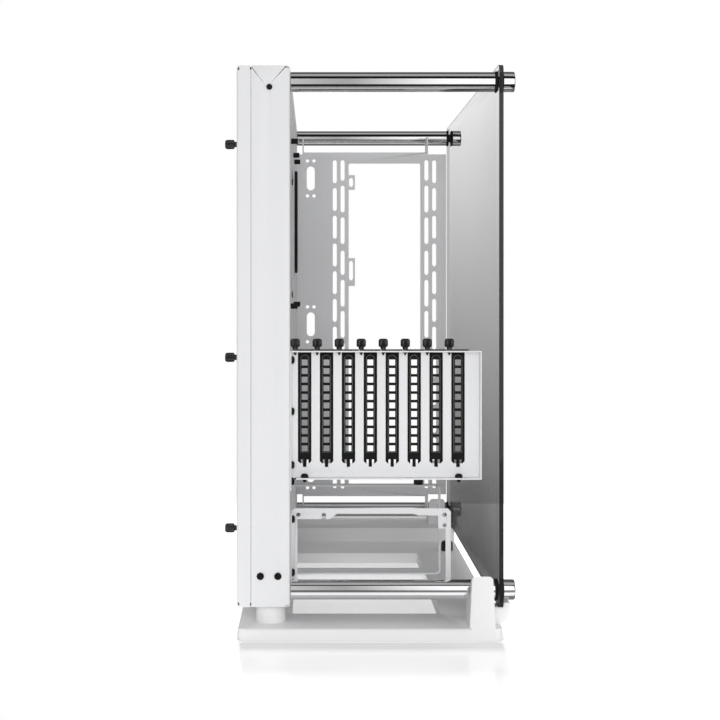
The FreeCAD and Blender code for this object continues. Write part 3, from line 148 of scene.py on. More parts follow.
def turned(sides, steps, knurl=None, knurl_share=1.0):
    """A round piece about X, drawn out of a disc through (place, diameter) steps.

    Between the two places of knurl, every second corner goes in to knurl_share of its size."""
    place, diameter = steps[0]
    bpy.ops.mesh.primitive_circle_add(vertices=sides, radius=diameter / 2 * MM, fill_type="NGON",
                                      location=(place * MM, 0, 0), rotation=(0, math.pi / 2, 0))
    piece = settle(bpy.context.active_object)
    edit(piece)
    bpy.ops.mesh.select_all(action="SELECT")
    for next_place, next_diameter in steps[1:]:
        bpy.ops.mesh.extrude_region_move(
            TRANSFORM_OT_translate={"value": ((next_place - place) * MM, 0, 0)})
        growth = next_diameter / diameter
        bpy.ops.transform.resize(value=(1, growth, growth), center_override=(0, 0, 0))
        place, diameter = next_place, next_diameter
    bpy.ops.mesh.select_all(action="SELECT")
    bpy.ops.mesh.normals_make_consistent(inside=False)
    if knurl:
        low, high = knurl[0] * MM - HAIR, knurl[1] * MM + HAIR
        step = 2 * math.pi / sides
        choose(piece, "VERT", lambda point: low < point.co.x < high
               and round(math.atan2(point.co.y, point.co.z) / step) % 2)
        bpy.ops.transform.resize(value=(1, knurl_share, knurl_share), center_override=(0, 0, 0))
    done()
    return piece


def cross_recess(piece, top, depth, reach, width):
    """Cuts a cross into the end of a screw's head."""
    for across, up in ((reach, width), (width, reach)):
        cut(piece, block((top - depth, -across / 2, -up / 2), (top + 1, across / 2, up / 2)))


def copies(form, name, places):
    """One piece made of copies of form, each with its own mesh, at the given places."""
    made = []
    for place in places:
        copy = bpy.data.objects.new(name, form.data.copy())
        bpy.context.scene.collection.objects.link(copy)
        copy.data.transform(place)
        made.append(copy)
    return joined(made)


def at(across, along, up, turn=None):
    """A place in millimetres, with a turn of the X axis towards -X, -Y, +Y or +Z."""
    turns = {None: Matrix.Identity(4), "-X": Matrix.Rotation(math.pi, 4, "Z"),
             "-Y": Matrix.Rotation(-math.pi / 2, 4, "Z"), "+Y": Matrix.Rotation(math.pi / 2, 4, "Z"),
             "+Z": Matrix.Rotation(-math.pi / 2, 4, "Y")}
    return Matrix.Translation(Vector((across, along, up)) * MM) @ turns[turn]


def merged(name):
    """A copy of a CAD node's mesh, its loose triangles merged into whole faces."""
    piece = bpy.data.objects.new(f"{name}_copy", nodes[name].data.copy())
    bpy.context.scene.collection.objects.link(piece)
    alone(piece)
    if piece.data.has_custom_normals:
        bpy.ops.mesh.customdata_custom_splitnormals_clear()
    edit(piece)
    bpy.ops.mesh.select_all(action="SELECT")
    bpy.ops.mesh.remove_doubles(threshold=2 * HAIR)
    done()
    return piece


def dress(piece, name, finish, slot, *replaced, body="bench"):
    """Names and smooths a finished piece, gives it its finish and body, and hides what it replaces."""
    settle(piece)
    bpy.ops.object.shade_smooth_by_angle(angle=SMOOTH_ANGLE)
    piece.name = name
    piece.data.name = name
    piece.data.materials.clear()
    piece.data.materials.append(finish)
    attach(piece, body)
    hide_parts(*replaced)
    return piece


# Finishes

class Wire:
    """A shader socket, with node maths written as sums."""

    tree = None

    def __init__(self, socket):
        self.socket = socket

    @staticmethod
    def node(kind, settings=None, values=None, out=0):
        """Adds a node: its settings first, then the values or links of its sockets."""
        made = Wire.tree.nodes.new(kind)
        for name, value in (settings or {}).items():
            if name != "stops":
                setattr(made, name, value)
                continue
            stops = made.color_ramp.elements
            while len(stops) < len(value):
                stops.new(0.5)
            for stop, (place, level) in zip(stops, value):
                stop.position = place
                stop.color = (level, level, level, 1)
        for name, value in (values or {}).items():
            if isinstance(value, Wire):
                Wire.tree.links.new(value.socket, made.inputs[name])
            else:
                made.inputs[name].default_value = value
        return Wire(made.outputs[out]) if made.outputs else None

    def maths(self, operation, other):
        return Wire.node("ShaderNodeMath", {"operation": operation}, {0: self, 1: other})

    def __add__(self, other):
        return self.maths("ADD", other)

    def __radd__(self, other):
        return self + other

    def __sub__(self, other):
        return self.maths("SUBTRACT", other)

    def __rsub__(self, other):
        return Wire.node("ShaderNodeMath", {"operation": "SUBTRACT"}, {0: other, 1: self})

    def __mul__(self, other):
        return self.maths("MULTIPLY", other)

    def __rmul__(self, other):
        return self * other

    def __truediv__(self, other):
        return self.maths("DIVIDE", other)


def start(name):
    material = bpy.data.materials.new(name)
    material.use_nodes = True
    Wire.tree = material.node_tree
    Wire.tree.nodes.clear()
    return material


def place_on_piece():
    return Wire.node("ShaderNodeTexCoord", out="Object")


def split(vector):
    """The three parts of a vector, by letter."""
    parts = Wire.tree.nodes.new("ShaderNodeSeparateXYZ")
    Wire.tree.links.new(vector.socket, parts.inputs[0])
    return {letter: Wire(parts.outputs[letter]) for letter in "XYZ"}


def ramp(value, least, most, first=0.0, last=1.0):
    """A value that goes from first to last while another goes from least to most."""
    return Wire.node("ShaderNodeMapRange", values={"Value": value, "From Min": least,
                                                   "From Max": most, "To Min": first,
                                                   "To Max": last})


def diagonal(across, up):
    """The straight distance of two sides that meet at a right angle."""
    return (across * across + up * up).maths("SQRT", 0)


def light_ray(kind):
    """1 for rays of one kind, 0 for all others."""
    return Wire.node("ShaderNodeLightPath", out=f"Is {kind} Ray")


def noise(size, detail=2.0, stretch=None):
    """Noise whose lumps are about size millimetres across, from 0 to 1."""
    vector = place_on_piece()
    if stretch:
        vector = Wire.node("ShaderNodeMapping", values={"Vector": vector, "Scale": stretch})
    return Wire.node("ShaderNodeTexNoise", values={"Vector": vector, "Scale": 1 / (size * MM),
                                                   "Detail": detail})


def blend(mask, first, second):
    """A colour between two greys or colours."""
    def colour(value):
        return (value, value, value, 1) if isinstance(value, (int, float)) else value
    return Wire.node("ShaderNodeMix", {"data_type": "RGBA"},
                     {0: mask, 6: colour(first), 7: colour(second)}, 2)


def bump(height, distance):
    """Fine relief that is distance millimetres deep."""
    return Wire.node("ShaderNodeBump", values={"Height": height, "Distance": distance * MM,
                                               "Strength": 1.0})


def surface(values):
    shader = Wire.node("ShaderNodeBsdfPrincipled", values=values)
    Wire.node("ShaderNodeOutputMaterial", values={"Surface": shader})


def painted(name, low, high, rough, grain=0.7, depth=0.012, sheen=0.35):
    """Powder paint on steel: fine orange peel, with a slow change of tone and gloss."""
    material = start(name)
    slow = noise(60, 3)
    peel = noise(grain, 2)
    fine = noise(grain / 3, 1)
    surface({"Base Color": blend(slow, low, high), "Roughness": rough + (slow - 0.5) * 0.14,
             "Specular IOR Level": sheen, "Normal": bump(peel + fine * 0.4, depth)})
    return material


WHITE_LOW = (0.775, 0.778, 0.79, 1)
WHITE_HIGH = (0.815, 0.818, 0.828, 1)
PLASTIC_LOW = (0.82, 0.82, 0.827, 1)
PLASTIC_HIGH = (0.855, 0.855, 0.86, 1)
white_steel = painted("white_powder_paint", WHITE_LOW, WHITE_HIGH, 0.5)
white_plastic = painted("white_moulded_plastic", PLASTIC_LOW, PLASTIC_HIGH, 0.38, grain=0.35,
                        depth=0.008)
black_paint = painted("black_powder_paint", 0.005, 0.009, 0.45, grain=0.5, depth=0.02, sheen=0.2)
# Pale grey for the faces of the slot covers that turn partly to the front, mostly the raised fields'
# rounded edges: a painted highlight.
front_edge_highlight = painted("painted_highlight_edges", 0.26, 0.38, 0.4, grain=0.5, depth=0.02, sheen=0.4)
black_plastic = painted("black_moulded_plastic", 0.012, 0.02, 0.4, grain=0.3, depth=0.01)


def make_black_steel(name, low, high, metal, rough):
    """Black oxide: dark, a little glossy, paler where fingers and drivers rub it."""
    material = start(name)
    slow = noise(7, 3)
    fine = noise(0.25, 2)
    surface({"Base Color": blend(slow, low, high), "Metallic": metal,
             "Specular IOR Level": 0.3, "Roughness": rough + slow * 0.16,
             "Normal": bump(fine, 0.01)})
    return material


def make_rubber():
    material = start("black_rubber")
    slow = noise(9, 3)
    fine = noise(0.4, 3)
    surface({"Base Color": blend(slow, 0.008, 0.018), "Roughness": 0.62 + slow * 0.16,
             "Specular IOR Level": 0.3, "Normal": bump(fine, 0.03)})
    return material


def make_chrome():
    """Plated steel with the finest drawing lines round it."""
    material = start("polished_chrome")
    rings = noise(0.35, 2, stretch=(1, 0.04, 0.04))
    haze = noise(18, 2)
    surface({"Base Color": (0.86, 0.86, 0.87, 1), "Metallic": 1.0,
             "Roughness": 0.05 + haze * 0.05, "Normal": bump(rings, 0.0004)})
    return material


GLASS_CORNER = 6.0
GLASS_EDGE = 0.8
GLASS_ROD_INSETS = {"Y": 17.0, "Z": 13.9}
WASHER_REACH = 9.8
WASHER_HALF = 9.4


def make_glass():
    """Smoked glass: an even grey tint face on; at a slant a painted reflection darkens it towards the
    floor.

    Its ground edges are nearly black, and so are the places that the washers cover."""
    material = start("smoked_glass")
    place = split(place_on_piece())
    height = ramp(place["Z"], 0.02, 0.52)
    low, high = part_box("glass_panel")
    outwards = []
    from_rod = []
    for axis, least, most in (("Y", low.y, high.y), ("Z", low.z, high.z)):
        from_middle = (place[axis] - (least + most) / 2).maths("ABSOLUTE", 0)
        half = (most - least) / 2
        outwards.append((from_middle - (half - GLASS_CORNER * MM)).maths("MAXIMUM", 0))
        from_rod.append(from_middle - (half - GLASS_ROD_INSETS[axis] * MM))
    border = diagonal(*outwards).maths("GREATER_THAN", (GLASS_CORNER - GLASS_EDGE) * MM)
    clamped = diagonal(*from_rod).maths("LESS_THAN", WASHER_REACH * MM)
    beside = from_rod[0].maths("GREATER_THAN", -WASHER_REACH * MM) * (
        from_rod[1].maths("ABSOLUTE", 0).maths("LESS_THAN", WASHER_HALF * MM))
    inside = Wire.node("ShaderNodeNewGeometry", out="Backfacing")
    slant = Wire.node("ShaderNodeLayerWeight", values={"Blend": 0.5}, out="Facing")
    steep = ramp(slant, 0.55, 0.85)
    clamped = clamped.maths("MAXIMUM", beside * steep)
    # Even tint face on; at a slant the glass is painted darker towards the floor, a painted reflection
    # of a graded studio.
    clear = 0.42 + (0.41 - 0.71 * height) * steep
    cloud = noise(40, 2)
    surface({"Base Color": (0.012, 0.013, 0.015, 1), "Roughness": 0.03 + cloud * 0.02 + steep * 0.4,
             "IOR": 1.5, "Specular IOR Level": 0.25,
             "Alpha": clear.maths("MAXIMUM", border * 0.96 * (1 - inside)).maths(
                 "MAXIMUM", clamped * 0.97)})
    return material


def make_port_steel():
    material = start("bright_port_steel")
    slow = noise(3, 2)
    lines = noise(0.2, 2, stretch=(1, 0.1, 1))
    surface({"Base Color": blend(slow, 0.5, 0.62), "Metallic": 1.0, "Roughness": 0.24 + slow * 0.1,
             "Normal": bump(lines, 0.004)})
    return material


def make_board():
    """Circuit board: black solder mask over copper runs."""
    material = start("black_circuit_board")
    runs = Wire.node("ShaderNodeTexBrick", {}, {"Vector": place_on_piece(), "Scale": 260.0,
                                                "Color1": (0.006, 0.02, 0.012, 1),
                                                "Color2": (0.01, 0.03, 0.018, 1),
                                                "Mortar": (0.014, 0.045, 0.025, 1)})
    surface({"Base Color": runs, "Roughness": 0.34, "Normal": bump(noise(0.8), 0.02)})
    return material


black_steel = make_black_steel("black_oxide_steel", 0.006, 0.014, 0.2, 0.32)
knurled_steel = make_black_steel("satin_black_knurling", 0.06, 0.11, 0.85, 0.2)
black_rubber = make_rubber()
chrome = make_chrome()
smoked_glass = make_glass()
port_steel = make_port_steel()
board = make_board()
FINISHES = {"white_steel": white_steel, "white_plastic": white_plastic, "black_steel": black_steel,
            "black_paint": black_paint, "black_plastic": black_plastic,
            "black_rubber": black_rubber, "chrome": chrome, "tinted_glass": smoked_glass,
            "port_steel": port_steel, "board": board}
for node in nodes.values():
    for holder in node.material_slots:
        slot_name = holder.material.name.split(".")[0]
        holder.link = "OBJECT"
        holder.material = FINISHES[slot_name]


# Places of the case, in millimetres

def low_of(name):
    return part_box(name)[0] / MM


def high_of(name):
    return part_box(name)[1] / MM


TRAY_FACE = high_of("main_tray").x
TRAY_BACK = low_of("main_tray").x
COVER_BACK = low_of("back_cover").x
NEAR_FACE = low_of("main_tray").y
FAR_FACE = high_of("main_tray").y
GLASS_INNER = low_of("glass_panel").x
GLASS_OUTER = high_of("glass_panel").x
BODY_TOP = 524.8
BODY_BOTTOM = 29.9
SHEET = 1.2
ROD_INSET = 17
ROD_LINES = (NEAR_FACE + ROD_INSET, FAR_FACE - ROD_INSET)
ROD_LEVELS = (42.5, 512.2)
ROD_PLACES = {"near_top": (ROD_LINES[0], ROD_LEVELS[1]), "near_low": (ROD_LINES[0], ROD_LEVELS[0]),
              "far_top": (ROD_LINES[1], ROD_LEVELS[1]), "far_low": (ROD_LINES[1], ROD_LEVELS[0])}


# Sheet metal with its edges eased

def bend_ends(piece):
    """Bends the body's top and bottom into its narrow sides."""
    low, high = low_of("main_tray") * MM, high_of("main_tray") * MM
    edit(piece)
    choose(piece, "EDGE", lambda edge: all(
        min(abs(point.co.y - low.y), abs(point.co.y - high.y)) < CLOSE
        and min(abs(point.co.z - low.z), abs(point.co.z - high.z)) < CLOSE
        for point in edge.verts) and edge.calc_length() > 0.003)
    bpy.ops.mesh.bevel(offset=0.0014, segments=4, profile=0.5, clamp_overlap=True)
    done()


def open_corners(piece):
    """Cuts the small slots where the body's bends meet, through both narrow sides."""
    low = low_of("main_tray").z
    high = high_of("main_tray").z
    slots = []
    for left, right, top, bottom in ((COVER_BACK + 0.7, COVER_BACK + 2.5, 1.6, 4.3),
                                     (TRAY_BACK - 1.0, TRAY_BACK + 0.8, 1.5, 4.0),
                                     (TRAY_FACE - 4.2, TRAY_FACE - 1.2, 0.7, 1.9)):
        for near, far in ((NEAR_FACE - 1, NEAR_FACE + 2), (FAR_FACE - 2, FAR_FACE + 1)):
            slots.append(block((left, near, high - bottom), (right, far, high - top)))
            slots.append(block((left, near, low + top), (right, far, low + bottom)))
    cut(piece, joined(slots))


OPENING_LOW = (NEAR_FACE + 88.5, 312.1)
OPENING_HIGH = (NEAR_FACE + 238.5, 440.1)
FOLD_DEPTH = 4.6


def fold_opening():
    """The folded rim behind the opening for the board's processor."""
    near, low = OPENING_LOW
    far, high = OPENING_HIGH
    back = TRAY_FACE - FOLD_DEPTH
    front = TRAY_FACE - SHEET
    wall = 1.0
    corner = 6
    return [block((back, near - wall, low + corner), (front, near, high - corner)),
            block((back, far, low + corner), (front, far + wall, high - corner)),
            block((back, near + corner, low - wall), (front, far - corner, low)),
            block((back, near + corner, high), (front, far - corner, high + wall))]


EASED_STEEL = {"main_tray": 0.35, "back_cover": 0.35, "slot_bracket": 0.3, "power_bracket": 0.25,
               "power_strap": 0.25, "cover_rail_near": 0.2, "cover_rail_far": 0.2,
               "drive_bracket_upper": 0.25, "drive_bracket_lower": 0.25}


def ease_sheet_metal():
    for name, width in EASED_STEEL.items():
        piece = merged(name)
        if name in ("main_tray", "back_cover"):
            open_corners(piece)
            bend_ends(piece)
        soften(piece, width)
        if name == "main_tray":
            piece = joined([piece] + fold_opening())
        dress(piece, f"{name}_eased", white_steel, "white_steel", name)


def make_radiator_plate():
    piece = merged("radiator_bracket")
    soften(piece, 0.25)
    dress(piece, "radiator_plate", white_steel, "white_steel", "radiator_bracket")


# Rods, caps and washers

ROD_WIDTH = 18.2
CAP_WIDTH = 18.8
CAP_LENGTH = 10.8
WASHER_WIDTH = 19.8
INNER_WASHER = 2.0
OUTER_WASHER = 1.4


def make_rods():
    length = GLASS_INNER - INNER_WASHER - TRAY_FACE
    rod = turned(96, ((0, 17.0), (0.6, ROD_WIDTH), (length - 0.6, ROD_WIDTH), (length, 17.0)))
    cap = turned(96, ((0, ROD_WIDTH), (0.3, CAP_WIDTH), (9.5, CAP_WIDTH), (10.4, ROD_WIDTH),
                      (CAP_LENGTH, 16.8)))
    edit(cap)
    choose(cap, "FACE", lambda face: face.normal.x > 0.9
           and face.calc_center_median().x > (CAP_LENGTH - 0.1) * MM)
    bpy.ops.mesh.inset(thickness=0.0016, depth=0)
    bpy.ops.mesh.inset(thickness=0.0003, depth=-0.0003)
    done()
    inner = turned(64, ((0, 18.4), (0.4, 19.5), (1.0, WASHER_WIDTH), (1.6, 19.5),
                        (INNER_WASHER, 18.4)))
    outer = turned(64, ((0, 18.6), (0.3, 19.5), (0.7, WASHER_WIDTH), (1.1, 19.5),
                        (OUTER_WASHER, 18.6)))
    for name, (along, up) in ROD_PLACES.items():
        dress(copies(rod, "rod", [at(TRAY_FACE, along, up)]), f"rod_{name}_plated", chrome,
              "chrome", f"rod_{name}")
        dress(copies(cap, "cap", [at(GLASS_OUTER + OUTER_WASHER, along, up)]),
              f"cap_{name}_plated", chrome, "chrome", f"cap_{name}")
    for washer, name, seat in ((inner, "inner_washers", GLASS_INNER - INNER_WASHER),
                               (outer, "outer_washers", GLASS_OUTER)):
        places = [at(seat, along, up) for along, up in ROD_PLACES.values()]
        dress(copies(washer, name, places), f"{name}_moulded", black_rubber, "black_rubber", name)
    screw = turned(32, ((-6, 8.6), (-5.6, 9.6), (-0.4, 9.6), (0, 9.2), (0.01, 6), (12, 6),
                        (13.2, 5)))
    cut(screw, barrel((-6, 0, 0), 5.8, 6, 6))
    places = [at(TRAY_FACE - SHEET, along, up) for along, up in ROD_PLACES.values()]
    dress(copies(screw, "rod_screws", places), "rod_screws_turned", black_steel, "black_steel",
          "rod_screws")
    for form in (rod, screw, inner, outer, cap):
        bpy.data.objects.remove(form)


# Screws

def thumbscrew(head, shank):
    """A knurled head on a neck, with a pointed shank."""
    top = 2.1 + head
    piece = turned(36, ((-shank, 1.0), (2.6 - shank, 3.4), (0, 3.4), (0.01, 5.0), (2.1, 5.0),
                        (2.7, 7.4), (3.3, 8.6), (top - 2.2, 8.7), (top - 1.0, 8.1), (top - 0.3, 6.8),
                        (top, 5.4)), knurl=(3.3, top - 2.2), knurl_share=0.85)
    cross_recess(piece, top, 1.8, 4.4, 1.0)
    return piece


def pan_screw(diameter, height, shank, tip=0.0):
    """A domed head with a cross recess."""
    steps = [(-shank, 2.4 if tip else 3.6)]
    if tip:
        steps.append((tip - shank, 3.6))
    steps += [(0, 3.6), (0.01, diameter * 0.97)]
    for share, width in ((0.12, 1.0), (0.4, 0.98), (0.65, 0.9), (0.84, 0.74), (0.95, 0.54),
                         (1.0, 0.3)):
        steps.append((height * share, diameter * width))
    piece = turned(32, steps)
    cross_recess(piece, height, height * 0.5, diameter * 0.52, diameter * 0.13)
    return piece


def flat_screw(diameter):
    """A low round head with a shallow cross recess."""
    piece = turned(32, ((-4.0, 3.6), (0, 3.6), (0.01, diameter), (0.7, diameter),
                        (1.05, diameter * 0.93), (1.2, diameter * 0.78)))
    cross_recess(piece, 1.2, 0.8, diameter * 0.56, diameter * 0.15)
    return piece


SLOTS = 8
SLOT_PITCH = 20.32
SLOT_FIRST = TRAY_FACE + 13.3
SLOT_LINE = NEAR_FACE + 13
SLOT_SHELF = high_of("slot_bracket").z
SLOT_FLOOR = 145.4
RADIATOR_LINE = NEAR_FACE + 464.8
STRAP_LINE = NEAR_FACE + 168
SUPPLY_LINE = NEAR_FACE + 34.7
SUPPLY_TOP = 113.7
PAN_WIDTH = 7.2
PAN_HEIGHT = 2.9


def make_screws():
    cover_levels = [BODY_TOP - drop for drop in (71.2, 267.1, 424.1)]
    cover_places = [at(COVER_BACK, along, up, "-X")
                    for along in (NEAR_FACE + 10, FAR_FACE - 10) for up in cover_levels]
    middles = [SLOT_FIRST + SLOT_PITCH * index for index in range(SLOTS)]
    slot_places = [at(middle - 8.7, SLOT_LINE, SLOT_SHELF + 1, "+Z") for middle in middles]
    groups = (
        ("cover_thumbscrews", thumbscrew(9.0, 17.4), cover_places),
        ("slot_thumbscrews", thumbscrew(8.0, 5.2), slot_places),
        ("slot_bracket_screws", pan_screw(PAN_WIDTH, PAN_HEIGHT, SHEET),
         [at(TRAY_FACE + SHEET, SLOT_LINE, SLOT_FLOOR + rise)
          for rise in (109.7, 62.3, 12.9, -2.2)]),
        ("radiator_bracket_screws", pan_screw(PAN_WIDTH, PAN_HEIGHT, 1.5),
         [at(TRAY_FACE + 1.5, RADIATOR_LINE, up) for up in (111.95, 277.35, 442.75)]),
        ("strap_screw", pan_screw(PAN_WIDTH, PAN_HEIGHT, 1.5),
         [at(TRAY_FACE + 1.5, STRAP_LINE, 126.8)]),
        ("power_bracket_screws", pan_screw(PAN_WIDTH, PAN_HEIGHT, SHEET),
         [at(TRAY_FACE + SHEET, SUPPLY_LINE, SUPPLY_TOP - drop) for drop in (9.1, 59.1)]),
        ("slot_bracket_foot_screws", pan_screw(PAN_WIDTH, 3.7, 4.2, 1.6),
         [at(middle, SLOT_LINE, SLOT_FLOOR + SHEET, "+Z")
          for middle in (middles[0], middles[-1])]),
    )
    for name, form, places in groups:
        finish = knurled_steel if "thumb" in name else black_steel
        dress(copies(form, name, places), f"{name}_turned", finish, "black_steel", name)
        bpy.data.objects.remove(form)
    small = flat_screw(5.5)
    large = flat_screw(6.7)
    lower = BODY_BOTTOM + 28.3
    spots = ((TRAY_FACE - 18.8, BODY_TOP - 19.6, small), (TRAY_FACE - 27, lower, large),
             (TRAY_FACE - 11, lower, large))
    for name, face, heading in (("near_side_screws", NEAR_FACE, "-Y"),
                                ("far_side_screws", FAR_FACE, "+Y")):
        made = [copies(form, name, [at(across, face, up, heading)]) for across, up, form in spots]
        dress(joined(made), f"{name}_turned", black_steel, "black_steel", name)
    bpy.data.objects.remove(small)
    bpy.data.objects.remove(large)


# Slot covers with a raised field, square vents and a bent tab

VENTS = 11
VENT_PITCH = 7.97
VENT_HALF = 2.75
FIELD_HALF = 3.9
FIELD_RISE = 0.6


def make_slot_covers():
    back = low_of("slot_bracket").y + 13.2
    vents = [SLOT_SHELF - 11.3 - VENT_PITCH * index for index in range(VENTS)]
    plate = merged("slot_cover_1")
    top = vents[0] + VENT_HALF + 0.4 + FIELD_HALF
    field = block((SLOT_FIRST - FIELD_HALF, back - FIELD_RISE, vents[-1] - 3.6),
                  (SLOT_FIRST + FIELD_HALF, back + 0.2, top))
    edit(field)
    choose(field, "EDGE", lambda edge: all(abs(point.co.z - top * MM) < HAIR
                                           for point in edge.verts)
           and abs(edge.verts[0].co.y - edge.verts[1].co.y) > 10 * HAIR)
    bpy.ops.mesh.bevel(offset=(FIELD_HALF - 0.05) * MM, segments=12, profile=0.5)
    front = (back - FIELD_RISE) * MM
    choose(field, "EDGE", lambda edge: len(edge.link_faces) == 2
           and all(abs(point.co.y - front) < HAIR for point in edge.verts)
           and edge.calc_face_angle(0) > 0.5)
    bpy.ops.mesh.bevel(offset=0.0005, segments=3, profile=0.5)
    done()
    for level in vents:
        cut(field, block((SLOT_FIRST - VENT_HALF, back - 1, level - VENT_HALF),
                         (SLOT_FIRST + VENT_HALF, back + 1, level + VENT_HALF)))
    soften(plate, 0.12, 1)
    form = joined([plate, field])
    for index in range(SLOTS):
        name = f"slot_cover_{index + 1}"
        cover = dress(copies(form, name, [at(SLOT_PITCH * index, 0, 0)]), f"{name}_pressed",
                      black_paint, "black_paint", name)
        cover.data.materials.append(front_edge_highlight)
        # Faces that turn partly to the front, in front of the plate, take the pale grey: a painted
        # highlight.
        for face in cover.data.polygons:
            if 0.2 < -face.normal.y < 0.95 and face.center.y < (back - 0.05) * MM:
                face.material_index = 1
    bpy.data.objects.remove(form)


# Grommet, stand-offs, knobs and feet

BOARD_LINE = NEAR_FACE + 26.5
BOARD_TOP = 462.1


def make_small_parts():
    form = turned(6, ((0, 5.77), (6.1, 5.77), (6.5, 5.2)))
    cut(form, barrel((6.5, 0, 0), 3.0, 10, 24))
    places = [at(TRAY_FACE, BOARD_LINE + along, BOARD_TOP) for along in (33.02, 165.10, 237.49)]
    places += [at(TRAY_FACE, BOARD_LINE + along, BOARD_TOP - row)
               for row in (157.48, 281.94) for along in (10.16, 165.10, 237.49)]
    dress(copies(form, "standoffs", places), "board_standoffs_turned", black_steel, "black_steel",
          "board_standoffs")
    bpy.data.objects.remove(form)
    grommet = merged("cable_grommet")
    soften(grommet, 1.1, 4, 50)
    dress(grommet, "cable_grommet_moulded", black_rubber, "black_rubber", "cable_grommet")
    knob = turned(40, ((0, 8.2), (0.5, 9.3), (1.0, 9.6), (4.3, 9.6), (5.1, 9.0), (5.5, 7.6)),
                  knurl=(1.0, 4.3), knurl_share=0.94)
    spot = (low_of("strap_knob") + high_of("strap_knob")) / 2
    dress(copies(knob, "knob", [at(spot.x, spot.y, low_of("strap_knob").z, "+Z")]),
          "strap_knob_moulded", black_plastic, "black_plastic", "strap_knob")
    stand_knob = turned(48, ((0, 12.4), (0.7, 13.4), (1.4, 13.7), (8.6, 13.7), (10.2, 12.8),
                             (11.2, 10.4)), knurl=(1.4, 8.6), knurl_share=0.95)
    spot = (low_of("stand_knob") + high_of("stand_knob")) / 2
    dress(copies(stand_knob, "knob", [at(spot.x, spot.y, low_of("stand_knob").z, "+Z")]),
          "stand_knob_moulded", black_plastic, "black_plastic", "stand_knob")
    foot = turned(48, ((0, 15.2), (0.2, 15.9), (1.0, 16.0), (1.2, 15.8)))
    low, high = low_of("stand_feet"), high_of("stand_feet")
    places = [at(across, along, 0, "+Z") for across in (low.x + 8, high.x - 8)
              for along in (low.y + 8, high.y - 8)]
    dress(copies(foot, "feet", places), "stand_feet_moulded", black_rubber, "black_rubber",
          "stand_feet")
    column = turned(64, ((0, 28.4), (17.5, 26.4)))
    for name in ("column_near", "column_far"):
        spot = (low_of(name) + high_of(name)) / 2
        dress(copies(column, name, [at(spot.x, spot.y, low_of(name).z, "+Z")]),
              f"{name}_moulded", white_plastic, "white_plastic", name)
    for form in (knob, stand_knob, foot, column):
        bpy.data.objects.remove(form)


# Stand with a rolled top edge

STAND_TOP = 0.0124
UPRIGHT_BACK = 15.2
UPRIGHT_SLOPE = 0.0034


def make_stand():
    piece = merged("stand")
    low = low_of("stand") * MM
    edit(piece)
    choose(piece, "EDGE", lambda edge: len(edge.link_faces) == 2
           and edge.calc_face_angle(0) > 0.5
           and all(abs(point.co.z - STAND_TOP) < CLOSE and (
               abs(point.co.x - low.x) < CLOSE or abs(point.co.y - low.y) < CLOSE)
               for point in edge.verts))
    bpy.ops.mesh.bevel(offset=0.0022, segments=5, profile=0.5, clamp_overlap=True)
    behind = [(line - UPRIGHT_BACK) * MM for line in ROD_LINES]
    choose(piece, "VERT", lambda point: point.co.z > 0.05
           and min(abs(point.co.y - line) for line in behind) < CLOSE)
    bpy.ops.transform.translate(value=(0, 0, -UPRIGHT_SLOPE))
    for side, flare in ((low.x, -0.0014), (TRAY_FACE * MM + 0.1934, 0.002)):
        choose(piece, "VERT", lambda point: point.co.z < 0.002 and abs(point.co.x - side) < CLOSE)
        bpy.ops.transform.translate(value=(flare, 0, 0))
    done()
    soften(piece, 0.35)
    dress(piece, "stand_moulded", white_plastic, "white_plastic", "stand")


# Glass with ground edges

def make_glass_panel():
    piece = merged("glass_panel")
    soften(piece, 0.6, 2, 60)
    dress(piece, "glass_panel_ground", smoked_glass, "tinted_glass", "glass_panel")


# Ports

def make_ports():
    for name, finish, slot, width, body in (
            ("port_panel", white_plastic, "white_plastic", 0.5, "bench"),
            ("usb_port_upper", port_steel, "port_steel", 0.12, "bench"),
            ("usb_port_lower", port_steel, "port_steel", 0.12, "bench"),
            ("small_port", port_steel, "port_steel", 0.1, "bench"),
            ("audio_jack", black_plastic, "black_plastic", 0.2, "bench"),
            ("power_button", black_plastic, "black_plastic", 0.6, "power"),
            ("reset_button", black_plastic, "black_plastic", 0.4, "reset"),
            ("port_board", board, "board", 0.15, "bench")):
        piece = merged(name)
        soften(piece, width)
        dress(piece, f"{name}_eased", finish, slot, name, body=body)


ease_sheet_metal()
make_radiator_plate()
make_rods()
make_screws()
make_slot_covers()
make_small_parts()
make_stand()
make_glass_panel()
make_ports()


# Floor, light and camera

AMBIENT = 0.52
STUDIO_BANDS = ((-180, 0.9), (-172, 0.9), (-165, 0.1), (-98, 0.1), (-94, 0.16), (-80, 0.16),
                (-76, 0.01), (62, 0.01), (66, 0.42), (96, 0.42), (99, 0.1), (160, 0.1), (168, 0.9),
                (180, 0.9))


def make_world():
    """Even light for the paint, bands of bright and dark for polished metal, white to the camera."""
    world = bpy.data.worlds.new("studio")
    bpy.context.scene.world = world
    world.use_nodes = True
    Wire.tree = world.node_tree
    Wire.tree.nodes.clear()
    heading = split(Wire.node("ShaderNodeTexCoord", out="Generated"))
    turn = heading["Z"].maths("ARCTAN2", heading["Y"] * -1) / (2 * math.pi) + 0.5
    stops = [(0.5 + angle / 360, level) for angle, level in STUDIO_BANDS]
    studio = Wire.node("ShaderNodeValToRGB", {"stops": stops}, {"Fac": turn})
    seen = light_ray("Camera").maths("MAXIMUM", light_ray("Transmission"))
    room = blend(light_ray("Glossy"), AMBIENT, studio)
    shader = Wire.node("ShaderNodeBackground", values={"Color": blend(seen, room, 1.0)})
    Wire.node("ShaderNodeOutputWorld", values={"Surface": shader})


NARROWING = 0.208


